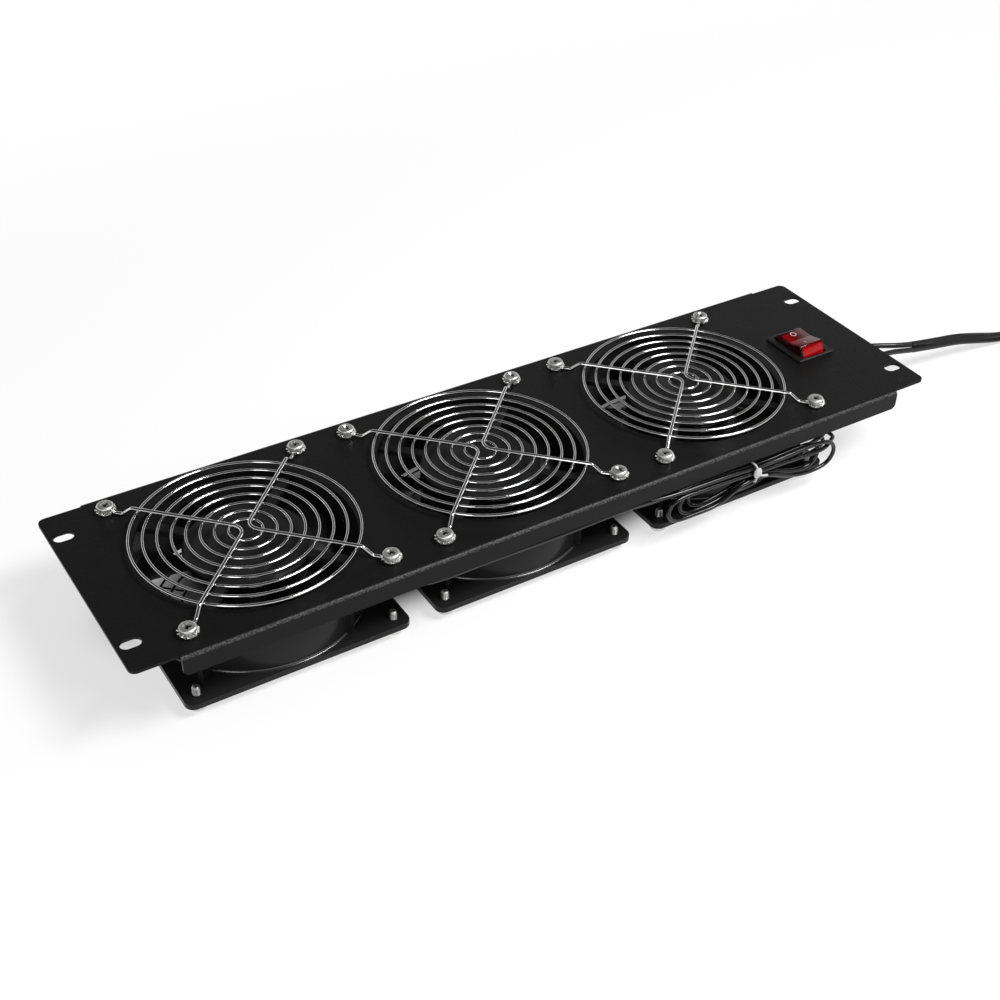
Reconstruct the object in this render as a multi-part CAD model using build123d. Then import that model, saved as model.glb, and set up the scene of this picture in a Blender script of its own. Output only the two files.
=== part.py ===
from build123d import *
import math
import os

# A rack mount fan panel: a folded steel panel that carries three axial fans, wire finger guards on both sides of
# them, a lit rocker switch and the wiring. Millimetres. X runs along the panel, Z comes up out of its face, and
# z = 0 is the underside of the rear screw heads, on which the panel rests.

# Panel, folded from one sheet
PANEL_LENGTH = 480.0
SHEET = 1.6
EAR_HEIGHT = 126.5
LIP_CLEARANCE = 4.6
EAR_REACH = 23.3
LIP_DEPTH = 11.0
BEND_RADIUS = 0.8
EAR_CORNER_RADIUS = 6.5
LIP_CORNER_RADIUS = 3.0
SLOT_EDGE = 7.45
SLOT_SPACING_Y = 88.9
SLOT_LENGTH = 10.5
SLOT_WIDTH = 6.8

# Fan housings
FAN_PITCH = 134.7
MIDDLE_FAN_X = -20.8
FAN_SIZE = 119.4
FAN_DEPTH = 38.5
FAN_CORNER_RADIUS = 5.0
FLANGE = 3.2
BARREL_INSET = 1.7
BARREL_WALL = 1.6
MOUTH_CHAMFER = 0.9
OPENING_STEP = 1.4
HOLE_EDGE = 7.3
RIB_LENGTH = 10.0
SHORT_RIB_LENGTH = 2.6
RIB_WIDTH = 2.4
LEAD_CORNER = -45.0
SHORT_RIB_TURN = 15.0

# Spider: hub plate, four struts and the bearing tube
HUB_RADIUS = 32.0
HUB_RECESS = 1.4
HUB_PLATE = 2.4
HUB_BEVEL = 1.3
STRUT_WIDTH = 5.5
STRUT_DEPTH = 3.0
TUBE_WALL = 1.95

# Motor
SHAFT_RADIUS = 1.5
BEARING_RADIUS = 5.0
BEARING_WIDTH = 4.0
STATOR_RADIUS = 24.0
STATOR_STACK = 12.0
POLE_COUNT = 4
POLE_WIDTH = 8.0
POLE_SHOE = 4.0
POLE_SLOT = 3.0
YOKE_WALL = 3.0
COIL_BUILD = 3.0
AIR_GAP = 0.6
ROTOR_HEIGHT = 18.0
FIT = 0.03
COIL_CLEARANCE = 0.25

# Impeller
BLADES = 5
TIP_CLEARANCE = 1.0
IMPELLER_CLEARANCE = 2.0
RIM_CLEARANCE = 1.0
CUP_WALL = 2.0
CUP_FLOOR = 2.0
CUP_BEVEL = 2.5
BLADE_HEIGHT = 23.0
BLADE_THICKNESS = 2.4
BLADE_CAMBER = 3.2
BLADE_ROOT_ANGLE = 60.0
BLADE_TIP_ANGLE = 65.0
BLADE_LEAN = 3.0
BOSS_WALL = 2.6

# Finger guards. A wire's section is a square of the round wire's area, which keeps the faces few.
RING_COUNT = 8
RING_WIRE = 1.6
ARM_WIRE = 2.0
GUARD_OVERLAP = 1.7
INNER_RING_RADIUS = 8.4
FRONT_RING_RISE = 3.9
REAR_RING_RISE = 2.5
ARM_BEND = 6.5
JOGGLE_START = 2.8
JOGGLE_END = 8.2
JOGGLE_BEND = 2.0
EYE_THICKNESS = 1.8
EYE_WALL = 2.0
EYE_CLEARANCE = 0.4

# Screws and lock washers
FASTENER_SIDES = 12
SCREW_RADIUS = 2.1
SCREW_LENGTH = 10.4
HEAD_RADIUS = 4.3
HEAD_HEIGHT = 2.7
HEAD_BEVEL = 1.2
WASHER = 0.8
WASHER_RADIUS = 5.0
WASHER_CLEARANCE = 0.2
TOOTH_COUNT = 12
TOOTH_DEPTH = 0.8
THREAD_CLEARANCE = 0.15
HOLE_CLEARANCE = 0.3

# Rocker switch
SWITCH_X = 200.2
BEZEL_WIDTH = 25.6
BEZEL_LENGTH = 30.6
BEZEL_HEIGHT = 1.9
BEZEL_CORNER = 1.0
SWITCH_WIDTH = 21.6
SWITCH_LENGTH = 28.4
SWITCH_DEPTH = 17.5
CUTOUT_CLEARANCE = 0.2
ROCKER_WIDTH = 17.5
ROCKER_HALF = 12.0
ROCKER_CREASE = 7.0
ROCKER_RISE = 0.34
ROCKER_SKIRT = 1.0
ROCKER_WALL = 1.2
ROCKER_TILT = 12.2
ROCKER_CLEARANCE = 0.3
PIVOT_DROP = 1.8
PIVOT_RADIUS = 1.4
PIVOT_REACH = 0.9
POCKET_FLOOR = 6.2
LAMP_RADIUS = 1.8
LAMP_LENGTH = 9.0
BLADE_TERMINAL_WIDTH = 6.3
BLADE_TERMINAL_THICKNESS = 0.8
BLADE_TERMINAL_LENGTH = 8.0
TERMINAL_X = 5.2
TERMINAL_Y = 7.0
BOOT_WALL = 1.2
BOOT_LENGTH = 8.5
BOOT_GAP = 0.4
BARREL_LENGTH = 5.0
SHANK_RISE = 2.1

# Wiring. The cords' sections have few sides, which keeps the faces few.
CORD_SIDES = 6
CORE_RADIUS = 1.7
FLAT_WIDTH = 7.2
FLAT_THICKNESS = 3.6
LEAD_RADIUS = 1.2
SWITCH_LEAD_RADIUS = 0.9
LEAD_HEIGHTS = {"left": 30.0, "middle": 24.0, "right": 34.0}
LEAD_EXIT_RUN = 8.5
SPLICE_RADIUS = 3.8
SPLICE_LENGTH = 22.0
SPLICE_X = 178.5
SPLICE_Z = 22.0
SPLICE_Y = -26.0
TIE_X = 121.0
TIE_WIDTH = 3.5
BUNDLE_Y = -64.2
BUNDLE_Z = 26.1
BUNDLE_WIDTH = 7.7
BUNDLE_HEIGHT = 9.8
TIE_THICKNESS = 0.6
TIE_CLEARANCE = 0.15
COIL_X = 410.0
COIL_Y = -52.0
COIL_INNER = 35.1
COIL_OUTER = 49.9
COIL_HEIGHT = 11.4
COIL_CHAMFER = 2.0
COIL_TIE_TURN = 250.0
PLUG_LENGTH = 30.0
PLUG_WIDTH = 25.0
PLUG_HEIGHT = 13.0
PLUG_ROUND = 4.0
PLUG_NECK = 16.0
PLUG_SHOULDER = 2.0
NECK_MARGIN = 2.0
PLUG_X = 419.0
PIN_SPACING = 12.7
PIN_WIDTH = 6.3
PIN_THICKNESS = 1.5
PIN_LENGTH = 16.5

# Heights that follow from the stack of screw head, washer, guard eye, fan and panel
FAN_BOTTOM = HEAD_HEIGHT + WASHER + EYE_THICKNESS
FAN_TOP = FAN_BOTTOM + FAN_DEPTH
PANEL_TOP = FAN_TOP + SHEET
HUB_TOP = FAN_TOP - HUB_RECESS
HUB_UNDERSIDE = HUB_TOP - HUB_PLATE
CUP_BOTTOM = FAN_BOTTOM + IMPELLER_CLEARANCE
CUP_INSIDE = CUP_BOTTOM + CUP_FLOOR
CUP_TOP = HUB_UNDERSIDE - RIM_CLEARANCE
PIVOT_Z = PANEL_TOP - PIVOT_DROP
SWITCH_BOTTOM = PANEL_TOP - SWITCH_DEPTH
SHANK_Z = SWITCH_BOTTOM - BLADE_TERMINAL_LENGTH + SHANK_RISE

# Radii and spacings that follow
LIP_SPAN = FAN_SIZE + 2 * (LIP_CLEARANCE + SHEET)
LIP_LENGTH = PANEL_LENGTH - 2 * EAR_REACH
SLOT_SPACING_X = PANEL_LENGTH - 2 * SLOT_EDGE
BARREL_RADIUS = FAN_SIZE / 2 - BARREL_INSET
BORE_RADIUS = BARREL_RADIUS - BARREL_WALL
OPENING_RADIUS = BORE_RADIUS - OPENING_STEP
TIP_RADIUS = BORE_RADIUS - TIP_CLEARANCE
GUARD_RADIUS = OPENING_RADIUS + GUARD_OVERLAP
HOLE_HALF = FAN_SIZE / 2 - HOLE_EDGE
CUP_INNER = HUB_RADIUS - CUP_WALL
TUBE_INNER = BEARING_RADIUS + FIT
TUBE_OUTER = TUBE_INNER + TUBE_WALL
EYE_BORE = SCREW_RADIUS + EYE_CLEARANCE
EYE_RADIUS = EYE_BORE + EYE_WALL
TUBE_BOTTOM = CUP_INSIDE + BOSS_WALL
STATOR_Z = (TUBE_BOTTOM + HUB_UNDERSIDE) / 2
RING_SIDE = RING_WIRE * math.sqrt(math.pi) / 2
ARM_SIDE = ARM_WIRE * math.sqrt(math.pi) / 2

FAN_X = {
    "left": MIDDLE_FAN_X - FAN_PITCH,
    "middle": MIDDLE_FAN_X,
    "right": MIDDLE_FAN_X + FAN_PITCH,
}
HOLES = [(x, y) for x in (-HOLE_HALF, HOLE_HALF) for y in (-HOLE_HALF, HOLE_HALF)]

# Cord routes, chosen by hand
CONDUCTOR_ROUTES = [
    [
        (212, 7, 22),
        (229, 7.6, 22.6),
        (246, 8.4, 22.9),
        (262, 7.4, 22.6),
        (274, 4.2, 21.8),
        (285, -0.6, 20),
        (295, -1.4, 18.6),
    ],
    [
        (212, -7, 22),
        (229, -7.6, 22.3),
        (247, -6.6, 22.8),
        (263, -5.2, 22.3),
        (276, -4.4, 21.2),
        (286, -4.8, 19.7),
        (295, -5, 18.6),
    ],
]
MAINS_ROUTE = [
    (295, -3.2, 18.6),
    (314, -3.6, 16.4),
    (334, -4.6, 13.0),
    (352, -5.6, 8.6),
    (368, -6.4, 4.6),
    (382, -7, 2.6),
    (394, -8, 2.4),
]
TAIL_ROUTE = [(372.6, -64, 14.2), (377, -57, 15.6), (385, -52.6, 17.6), (394, -52, 18.5), (403, -52, 18.5)]
LEAD_ROUTES = {
    "left": [
        (-98, -56, 29.4),
        (-83, -61.4, 29.8),
        (-56, -62, 31),
        (-12, -62.2, 30.2),
        (28, -62, 30.8),
        (46, -63.2, 31.2),
        (62, -66.4, 31.8),
        (98, -66.8, 31.6),
        (121, -66.8, 29.3),
        (143, -66.8, 30.6),
        (167, -66.8, 30.6),
        (173.4, -66.8, 22.2),
        (169, -66.8, 13.4),
        (155, -66.8, 12),
        (140, -66.8, 15),
        (121, -66.8, 23.7),
        (105, -66.8, 21.6),
        (90, -66.8, 13.6),
        (76, -66.8, 13.6),
        (59.4, -66.8, 14),
        (54.7, -66.8, 21.6),
        (59, -66.8, 29),
        (82, -66.8, 28.4),
        (121, -66.8, 26.5),
        (143, -66.8, 25.8),
        (158, -67.5, 25.4),
        (166, -66.2, 25),
        (173.5, -62.2, 24.6),
        (180.5, -57.6, 23.4),
        (180.6, -48, 21.2),
    ],
    "middle": [
        (36, -56, 25),
        (50, -60.8, 27.4),
        (66, -63.8, 31.4),
        (98, -64.2, 31.6),
        (121, -64.2, 29.3),
        (142, -64.2, 30.6),
        (158.6, -64.2, 30.4),
        (163.4, -64.2, 22.4),
        (158.6, -64.2, 14.4),
        (146, -64.2, 14.6),
        (121, -64.2, 23.7),
        (104, -64.2, 20.6),
        (92, -64.2, 14.2),
        (69, -64.2, 13.6),
        (64.2, -64.2, 20.8),
        (68.8, -64.2, 28.2),
        (86, -64.2, 28.2),
        (121, -64.2, 26.5),
        (141, -64.2, 27),
        (151, -63.4, 27.2),
        (161, -60.4, 27),
        (169, -58.6, 26.4),
        (175.2, -55, 25.2),
        (177.8, -48, 23.8),
    ],
    "right": [
        (162.1, -53.4, 34.2),
        (159.6, -58.4, 34),
        (154.4, -61.6, 33),
        (143, -61.6, 31.2),
        (121, -61.6, 29.3),
        (102, -61.6, 30.4),
        (76.2, -61.6, 30),
        (71.6, -61.6, 22.4),
        (76.2, -61.6, 14.8),
        (90, -61.6, 14.4),
        (121, -61.6, 23.7),
        (142, -61.6, 20.4),
        (159, -61.4, 20.2),
        (170, -59.2, 20.8),
        (175.6, -54.6, 21),
        (176.8, -48, 21.2),
    ],
}
SWITCH_LEAD_ROUTES = [
    [(178.5, -26, 23.5), (176.4, -7.2, 22.6), (188.2, -7, 22)],
    [(178.5, -26, 20.5), (175.2, -9, 20.2), (175.2, 6.6, 20.8), (188.2, 7, 22)],
]


def turned(points):
    """A solid of revolution about Z from (radius, height) corners."""
    return revolve(Plane.XZ * make_face(Polyline(*points, close=True)), Axis.Z)


def plate(sketch, bottom, thickness):
    return Pos(0, 0, bottom) * extrude(sketch, thickness)


def ring(outer, inner):
    return Circle(outer) - Circle(inner)


def bored(x, y, radius, bottom, height):
    return Pos(x, y, bottom + height / 2) * Cylinder(radius, height)


def bend_radii(route):
    """The largest arc at each corner of a route that its two runs allow."""
    points = [Vector(*point) for point in route]
    radii = []
    for before, corner, after in zip(points, points[1:], points[2:]):
        run = min((corner - before).length, (after - corner).length)
        turn = (corner - before).get_angle(after - corner)
        radii.append(0.45 * run / math.tan(math.radians(turn) / 2))
    return radii


def swept(route, section, name):
    """A cord's solid: the section carried along straight runs joined by tangent arcs."""
    radii = bend_radii(route)
    path = FilletPolyline(*route, radius=radii)
    start = Plane(path @ 0, x_dir=Vector(0, 0, 1).cross(path % 0), z_dir=path % 0)
    solid = sweep(start * section, path=path)
    ratio = solid.volume / (section.area * path.length)
    print(name, "length", round(path.length), "volume share", round(ratio, 4))
    print("  radii", [round(radius, 1) for radius in radii])
    return solid


def panel():
    outer = fillet(
        Rectangle(LIP_SPAN, LIP_DEPTH, align=(Align.CENTER, Align.MAX)).vertices().group_by(Axis.Y)[-1],
        BEND_RADIUS + SHEET,
    )
    inner = Rectangle(LIP_SPAN - 2 * SHEET, LIP_DEPTH - SHEET, align=(Align.CENTER, Align.MAX))
    inner = fillet(inner.vertices().group_by(Axis.Y)[-1], BEND_RADIUS)
    section = outer - Pos(0, -SHEET) * inner
    channel = extrude(Plane.YZ * Pos(0, PANEL_TOP) * section, LIP_LENGTH / 2, both=True)
    corners = channel.edges().filter_by(Axis.Y).group_by(Axis.Z)[0]
    channel = fillet(corners, LIP_CORNER_RADIUS)
    face = RectangleRounded(PANEL_LENGTH, EAR_HEIGHT, EAR_CORNER_RADIUS)
    for x in (-SLOT_SPACING_X / 2, SLOT_SPACING_X / 2):
        for y in (-SLOT_SPACING_Y / 2, SLOT_SPACING_Y / 2):
            face -= Pos(x, y) * SlotOverall(SLOT_LENGTH, SLOT_WIDTH)
    body = channel + plate(face, FAN_TOP, SHEET)
    cuts = Pos(SWITCH_X, 0) * Rectangle(
        SWITCH_WIDTH + 2 * CUTOUT_CLEARANCE, SWITCH_LENGTH + 2 * CUTOUT_CLEARANCE
    )
    for x in FAN_X.values():
        cuts += Pos(x, 0) * Circle(OPENING_RADIUS)
        cuts += [Pos(x + u, v) * Circle(SCREW_RADIUS + HOLE_CLEARANCE) for u, v in HOLES]
    return body - plate(cuts, FAN_TOP - SHEET, 3 * SHEET)


def corner_rib(angle, length):
    height = FAN_DEPTH - 2 * FLANGE
    middle = BARREL_RADIUS + (length - BARREL_WALL) / 2
    rib = Pos(middle, 0, FAN_BOTTOM + FLANGE + height / 2) * Box(length + BARREL_WALL, RIB_WIDTH, height)
    return Rot(0, 0, angle) * rib


def spider():
    top = HUB_UNDERSIDE + HUB_PLATE
    hub = turned(
        [
            (TUBE_INNER, TUBE_BOTTOM),
            (TUBE_OUTER, TUBE_BOTTOM),
            (TUBE_OUTER, HUB_UNDERSIDE),
            (HUB_RADIUS, HUB_UNDERSIDE),
            (HUB_RADIUS, top - HUB_BEVEL),
            (HUB_RADIUS - HUB_BEVEL, top),
            (0, top),
            (0, HUB_UNDERSIDE),
            (TUBE_INNER, HUB_UNDERSIDE),
        ]
    )
    inside = HUB_RADIUS - 2 * HUB_BEVEL
    reach = BORE_RADIUS + BARREL_WALL / 2
    strut_top = top - HUB_BEVEL / 2
    strut = Pos((inside + reach) / 2, 0, strut_top - STRUT_DEPTH / 2) * Box(
        reach - inside, STRUT_WIDTH, STRUT_DEPTH
    )
    strut -= Pos(0, 0, HUB_UNDERSIDE - STRUT_DEPTH) * Cylinder(
        HUB_RADIUS, STRUT_DEPTH, align=(Align.CENTER, Align.CENTER, Align.MIN)
    )
    return hub + [Rot(0, 0, 45 + 90 * turn) * strut for turn in range(4)]


def fan_housing():
    square = RectangleRounded(FAN_SIZE, FAN_SIZE, FAN_CORNER_RADIUS) - Circle(BARREL_RADIUS)
    for u, v in HOLES:
        square -= Pos(u, v) * Circle(SCREW_RADIUS + THREAD_CLEARANCE)
    barrel = turned(
        [
            (BORE_RADIUS + MOUTH_CHAMFER, FAN_BOTTOM),
            (BARREL_RADIUS, FAN_BOTTOM),
            (BARREL_RADIUS, FAN_TOP),
            (BORE_RADIUS, FAN_TOP),
            (BORE_RADIUS, FAN_BOTTOM + MOUTH_CHAMFER),
        ]
    )
    housing = plate(square, FAN_BOTTOM, FLANGE) + plate(square, FAN_TOP - FLANGE, FLANGE) + barrel + spider()
    for turn in range(1, 4):
        housing += corner_rib(LEAD_CORNER + 90 * turn, RIB_LENGTH)
    for side in (-SHORT_RIB_TURN, SHORT_RIB_TURN):
        housing += corner_rib(LEAD_CORNER + side, SHORT_RIB_LENGTH)
    return housing


def stator_core():
    """Laminated core with four poles, pressed on the bearing tube."""
    shoe = ring(STATOR_RADIUS, STATOR_RADIUS - POLE_SHOE)
    yoke = ring(TUBE_OUTER + YOKE_WALL, TUBE_OUTER + FIT)
    neck_length = STATOR_RADIUS - POLE_SHOE / 2 - TUBE_OUTER - YOKE_WALL / 2
    neck = Pos(TUBE_OUTER + YOKE_WALL / 2 + neck_length / 2, 0) * Rectangle(neck_length, POLE_WIDTH)
    slot = Pos(STATOR_RADIUS, 0) * Rectangle(3 * POLE_SHOE, POLE_SLOT)
    step = 360 / POLE_COUNT
    poles = [Rot(0, 0, step * pole) * neck for pole in range(POLE_COUNT)]
    slots = [Rot(0, 0, step * (pole + 0.5)) * slot for pole in range(POLE_COUNT)]
    return plate(yoke + poles + (shoe - slots), STATOR_Z - STATOR_STACK / 2, STATOR_STACK)


def stator_windings():
    """One coil round the neck of each pole, as far out as the pole shoes let its corners go."""
    width = POLE_WIDTH + 2 * COIL_CLEARANCE
    height = STATOR_STACK + 2 * COIL_CLEARANCE
    half = width / 2 + COIL_BUILD
    inside = TUBE_OUTER + YOKE_WALL + COIL_CLEARANCE
    outside = math.sqrt((STATOR_RADIUS - POLE_SHOE - COIL_CLEARANCE) ** 2 - half**2)
    coil = Box(outside - inside, 2 * half, height + 2 * COIL_BUILD) - Box(outside - inside, width, height)
    coil = Pos((inside + outside) / 2, 0, STATOR_Z) * coil
    return Compound(children=[Rot(0, 0, 360 / POLE_COUNT * pole) * coil for pole in range(POLE_COUNT)])


def bearings():
    """Two ball bearings, one at each end of the bearing tube."""
    race = ring(BEARING_RADIUS, SHAFT_RADIUS + FIT)
    top = HUB_UNDERSIDE - BEARING_WIDTH
    return Compound(children=[plate(race, TUBE_BOTTOM, BEARING_WIDTH), plate(race, top, BEARING_WIDTH)])


def rotor_shaft():
    top = HUB_UNDERSIDE - FIT
    return bored(0, 0, SHAFT_RADIUS, CUP_INSIDE, top - CUP_INSIDE)


def rotor_ring():
    """Steel rotor, pressed into the impeller's cup round the stator."""
    race = ring(CUP_INNER - FIT, STATOR_RADIUS + AIR_GAP)
    return plate(race, STATOR_Z - ROTOR_HEIGHT / 2, ROTOR_HEIGHT)


def impeller_cup():
    boss = SHAFT_RADIUS + BOSS_WALL
    return turned(
        [
            (0, CUP_BOTTOM),
            (HUB_RADIUS - CUP_BEVEL, CUP_BOTTOM),
            (HUB_RADIUS, CUP_BOTTOM + CUP_BEVEL),
            (HUB_RADIUS, CUP_TOP),
            (CUP_INNER, CUP_TOP),
            (CUP_INNER, CUP_INSIDE),
            (boss, CUP_INSIDE),
            (boss, TUBE_BOTTOM - RIM_CLEARANCE),
            (SHAFT_RADIUS + FIT, TUBE_BOTTOM - RIM_CLEARANCE),
            (SHAFT_RADIUS + FIT, CUP_INSIDE),
            (0, CUP_INSIDE),
        ]
    )


def blade_section(distance, half_width, lean):
    """A cambered blade section, square to the radius at that distance from the axis."""
    rise = BLADE_HEIGHT / 2
    ends = [Vector(lean - half_width, -rise), Vector(lean + half_width, rise)]
    across = (ends[1] - ends[0]).normalized().rotate(Axis.Z, 90)
    middle = (ends[0] + ends[1]) / 2 + across * BLADE_CAMBER
    upper = ThreePointArc(ends[0], middle + across * BLADE_THICKNESS / 2, ends[1])
    lower = ThreePointArc(ends[1], middle - across * BLADE_THICKNESS / 2, ends[0])
    return Plane((distance, 0, (CUP_BOTTOM + CUP_TOP) / 2), x_dir=(0, 1, 0), z_dir=(1, 0, 0)) * make_face(
        Curve() + [upper, lower]
    )


def impeller_blade():
    root = HUB_RADIUS * math.sin(math.radians(BLADE_ROOT_ANGLE / 2))
    tip = TIP_RADIUS * math.sin(math.radians(BLADE_TIP_ANGLE / 2))
    inside = HUB_RADIUS * math.cos(math.radians(BLADE_ROOT_ANGLE / 2)) - BLADE_THICKNESS
    blade = loft([blade_section(inside, root, 0), blade_section(TIP_RADIUS + 1, tip, BLADE_LEAN)])
    blade &= bored(0, 0, TIP_RADIUS, CUP_BOTTOM, CUP_TOP - CUP_BOTTOM)
    return blade - bored(0, 0, HUB_RADIUS - CUP_WALL / 2, CUP_BOTTOM, CUP_TOP - CUP_BOTTOM)


def impeller():
    blade = impeller_blade()
    return impeller_cup() + [Rot(0, 0, 360 / BLADES * turn) * blade for turn in range(BLADES)]


def guard_ring(radius, rise):
    return revolve(Plane.XZ * Pos(radius, rise) * Rectangle(RING_SIDE, RING_SIDE), Axis.Z)


def guard_arm(rise):
    """One bent wire from eye to eye, on the -X side: down the joggle, over the rings, round by the centre and back."""
    low = EYE_THICKNESS / 2
    high = rise + RING_SIDE / 2 + ARM_SIDE / 2
    diagonal = HOLE_HALF * math.sqrt(2)
    stations = [
        (diagonal - EYE_BORE - EYE_WALL / 2, low),
        (GUARD_RADIUS + JOGGLE_END, low),
        (GUARD_RADIUS + JOGGLE_START, high),
    ]
    upper = [(-radius / math.sqrt(2), radius / math.sqrt(2), height) for radius, height in stations]
    lower = [(x, -y, z) for x, y, z in reversed(upper)]
    bends = [JOGGLE_BEND, JOGGLE_BEND, ARM_BEND, JOGGLE_BEND, JOGGLE_BEND]
    path = FilletPolyline(*upper, (0, 0, high), *lower, radius=bends)
    start = Plane(path @ 0, x_dir=Vector(0, 0, 1).cross(path % 0), z_dir=path % 0)
    wire = sweep(start * Rectangle(ARM_SIDE, ARM_SIDE), path=path)
    eyes = [Pos(-HOLE_HALF, y) * ring(EYE_RADIUS, EYE_BORE) for y in (-HOLE_HALF, HOLE_HALF)]
    return wire + plate(Sketch() + eyes, 0, EYE_THICKNESS)


def finger_guard(rise):
    """A welded guard that stands on z = 0: concentric rings and two bent arms on top of them."""
    step = (GUARD_RADIUS - INNER_RING_RADIUS) / (RING_COUNT - 1)
    rings = [guard_ring(INNER_RING_RADIUS + step * number, rise) for number in range(RING_COUNT)]
    arm = guard_arm(rise)
    return arm + Rot(0, 0, 180) * arm + rings


def at_fans(piece):
    return Compound(children=[Pos(x, 0, 0) * piece for x in FAN_X.values()])


def screw():
    """A pan head screw with its head's underside on z = 0, drawn with few sides because there are many."""
    shank = extrude(RegularPolygon(SCREW_RADIUS, FASTENER_SIDES), -SCREW_LENGTH)
    rim = RegularPolygon(HEAD_RADIUS, FASTENER_SIDES)
    side = extrude(rim, HEAD_HEIGHT - HEAD_BEVEL)
    crown = loft(
        [
            Pos(0, 0, HEAD_HEIGHT - HEAD_BEVEL) * rim,
            Pos(0, 0, HEAD_HEIGHT) * RegularPolygon(HEAD_RADIUS - HEAD_BEVEL, FASTENER_SIDES),
        ],
        ruled=True,
    )
    return shank + side + crown


def tooth_washer():
    """An external tooth lock washer that lies on z = 0."""
    corners = []
    for number in range(2 * TOOTH_COUNT):
        radius = WASHER_RADIUS - TOOTH_DEPTH * (number % 2)
        angle = math.pi * number / TOOTH_COUNT
        corners.append((radius * math.cos(angle), radius * math.sin(angle)))
    bore = RegularPolygon(SCREW_RADIUS + WASHER_CLEARANCE, FASTENER_SIDES)
    return extrude(make_face(Polyline(*corners, close=True)) - bore, WASHER)


def at_holes(piece, height, upside_down=False):
    """The piece at every screw hole, standing on the given height, or hanging from it."""
    turn = Rot(180, 0, 0) if upside_down else Rot(0, 0, 0)
    places = [Pos(x + u, v, height) for x in FAN_X.values() for u, v in HOLES]
    return Compound(children=[place * turn * piece for place in places])


def switch_body():
    below = Box(SWITCH_WIDTH, SWITCH_LENGTH, SWITCH_DEPTH, align=(Align.CENTER, Align.CENTER, Align.MAX))
    bezel = extrude(RectangleRounded(BEZEL_WIDTH, BEZEL_LENGTH, BEZEL_CORNER), BEZEL_HEIGHT)
    bezel = chamfer(bezel.edges().group_by(Axis.Z)[-1], BEZEL_CORNER / 2)
    sweep_out = math.hypot(ROCKER_HALF, ROCKER_CREASE + ROCKER_RISE)
    tilt = math.radians(ROCKER_TILT)
    reach = ROCKER_HALF * math.cos(tilt) + (ROCKER_CREASE + ROCKER_RISE) * math.sin(tilt)
    width = ROCKER_WIDTH + 2 * ROCKER_CLEARANCE
    mouth = Box(width, 2 * (reach + ROCKER_CLEARANCE), 2 * sweep_out)
    pocket = Pos(0, 0, -POCKET_FLOOR) * Box(
        width, 2 * (reach - ROCKER_CLEARANCE), 2 * POCKET_FLOOR, align=(Align.CENTER, Align.CENTER, Align.MIN)
    )
    mouth = Pos(0, 0, sweep_out - PIVOT_DROP / 2) * mouth
    sockets = Pos(0, 0, -PIVOT_DROP) * Rot(0, 90, 0) * Cylinder(
        PIVOT_RADIUS + 2 * FIT, width + 2 * PIVOT_REACH
    )
    body = Pos(SWITCH_X, 0, PANEL_TOP) * (below + bezel - mouth - pocket - sockets)
    return body


def switch_rocker():
    """A hollow rocker in its rest pose, pressed at the back, with a pivot stub on each side."""
    outline = [
        (-ROCKER_HALF, -ROCKER_SKIRT),
        (-ROCKER_HALF, ROCKER_CREASE + ROCKER_RISE),
        (0, ROCKER_CREASE),
        (ROCKER_HALF, ROCKER_CREASE + ROCKER_RISE),
        (ROCKER_HALF, -ROCKER_SKIRT),
    ]
    shell = extrude(Plane.YZ * make_face(Polyline(*outline, close=True)), ROCKER_WIDTH / 2, both=True)
    hollow = Pos(0, 0, -ROCKER_SKIRT) * Box(
        ROCKER_WIDTH - 2 * ROCKER_WALL,
        2 * (ROCKER_HALF - ROCKER_WALL),
        2 * (ROCKER_CREASE + ROCKER_SKIRT - ROCKER_WALL),
    )
    stub_length = ROCKER_WALL + PIVOT_REACH
    stubs = [
        Pos(side * (ROCKER_WIDTH / 2 - ROCKER_WALL + stub_length / 2), 0, 0)
        * Rot(0, 90, 0)
        * Cylinder(PIVOT_RADIUS, stub_length)
        for side in (-1, 1)
    ]
    cheeks = [
        Pos(side * (ROCKER_WIDTH - ROCKER_WALL) / 2, 0, -ROCKER_SKIRT / 2)
        * Box(ROCKER_WALL, 2 * (PIVOT_RADIUS + ROCKER_WALL), 2 * ROCKER_SKIRT + PIVOT_RADIUS)
        for side in (-1, 1)
    ]
    rocker = shell - hollow + cheeks + stubs
    return Pos(SWITCH_X, 0, PIVOT_Z) * Rot(-ROCKER_TILT, 0, 0) * rocker


def switch_lamp():
    """The neon lamp that stands on the pocket's floor under the rocker."""
    height = PANEL_TOP - POCKET_FLOOR + LAMP_RADIUS
    return Pos(SWITCH_X, 0, height) * Rot(0, 90, 0) * Cylinder(LAMP_RADIUS, LAMP_LENGTH)


def terminal_places():
    return [Pos(SWITCH_X + x, y) for x in (-TERMINAL_X, TERMINAL_X) for y in (-TERMINAL_Y, TERMINAL_Y)]


def switch_terminals():
    blade = Pos(0, 0, SWITCH_BOTTOM) * Box(
        BLADE_TERMINAL_THICKNESS,
        BLADE_TERMINAL_WIDTH,
        BLADE_TERMINAL_LENGTH,
        align=(Align.CENTER, Align.CENTER, Align.MAX),
    )
    return Compound(children=[place * blade for place in terminal_places()])


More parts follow.
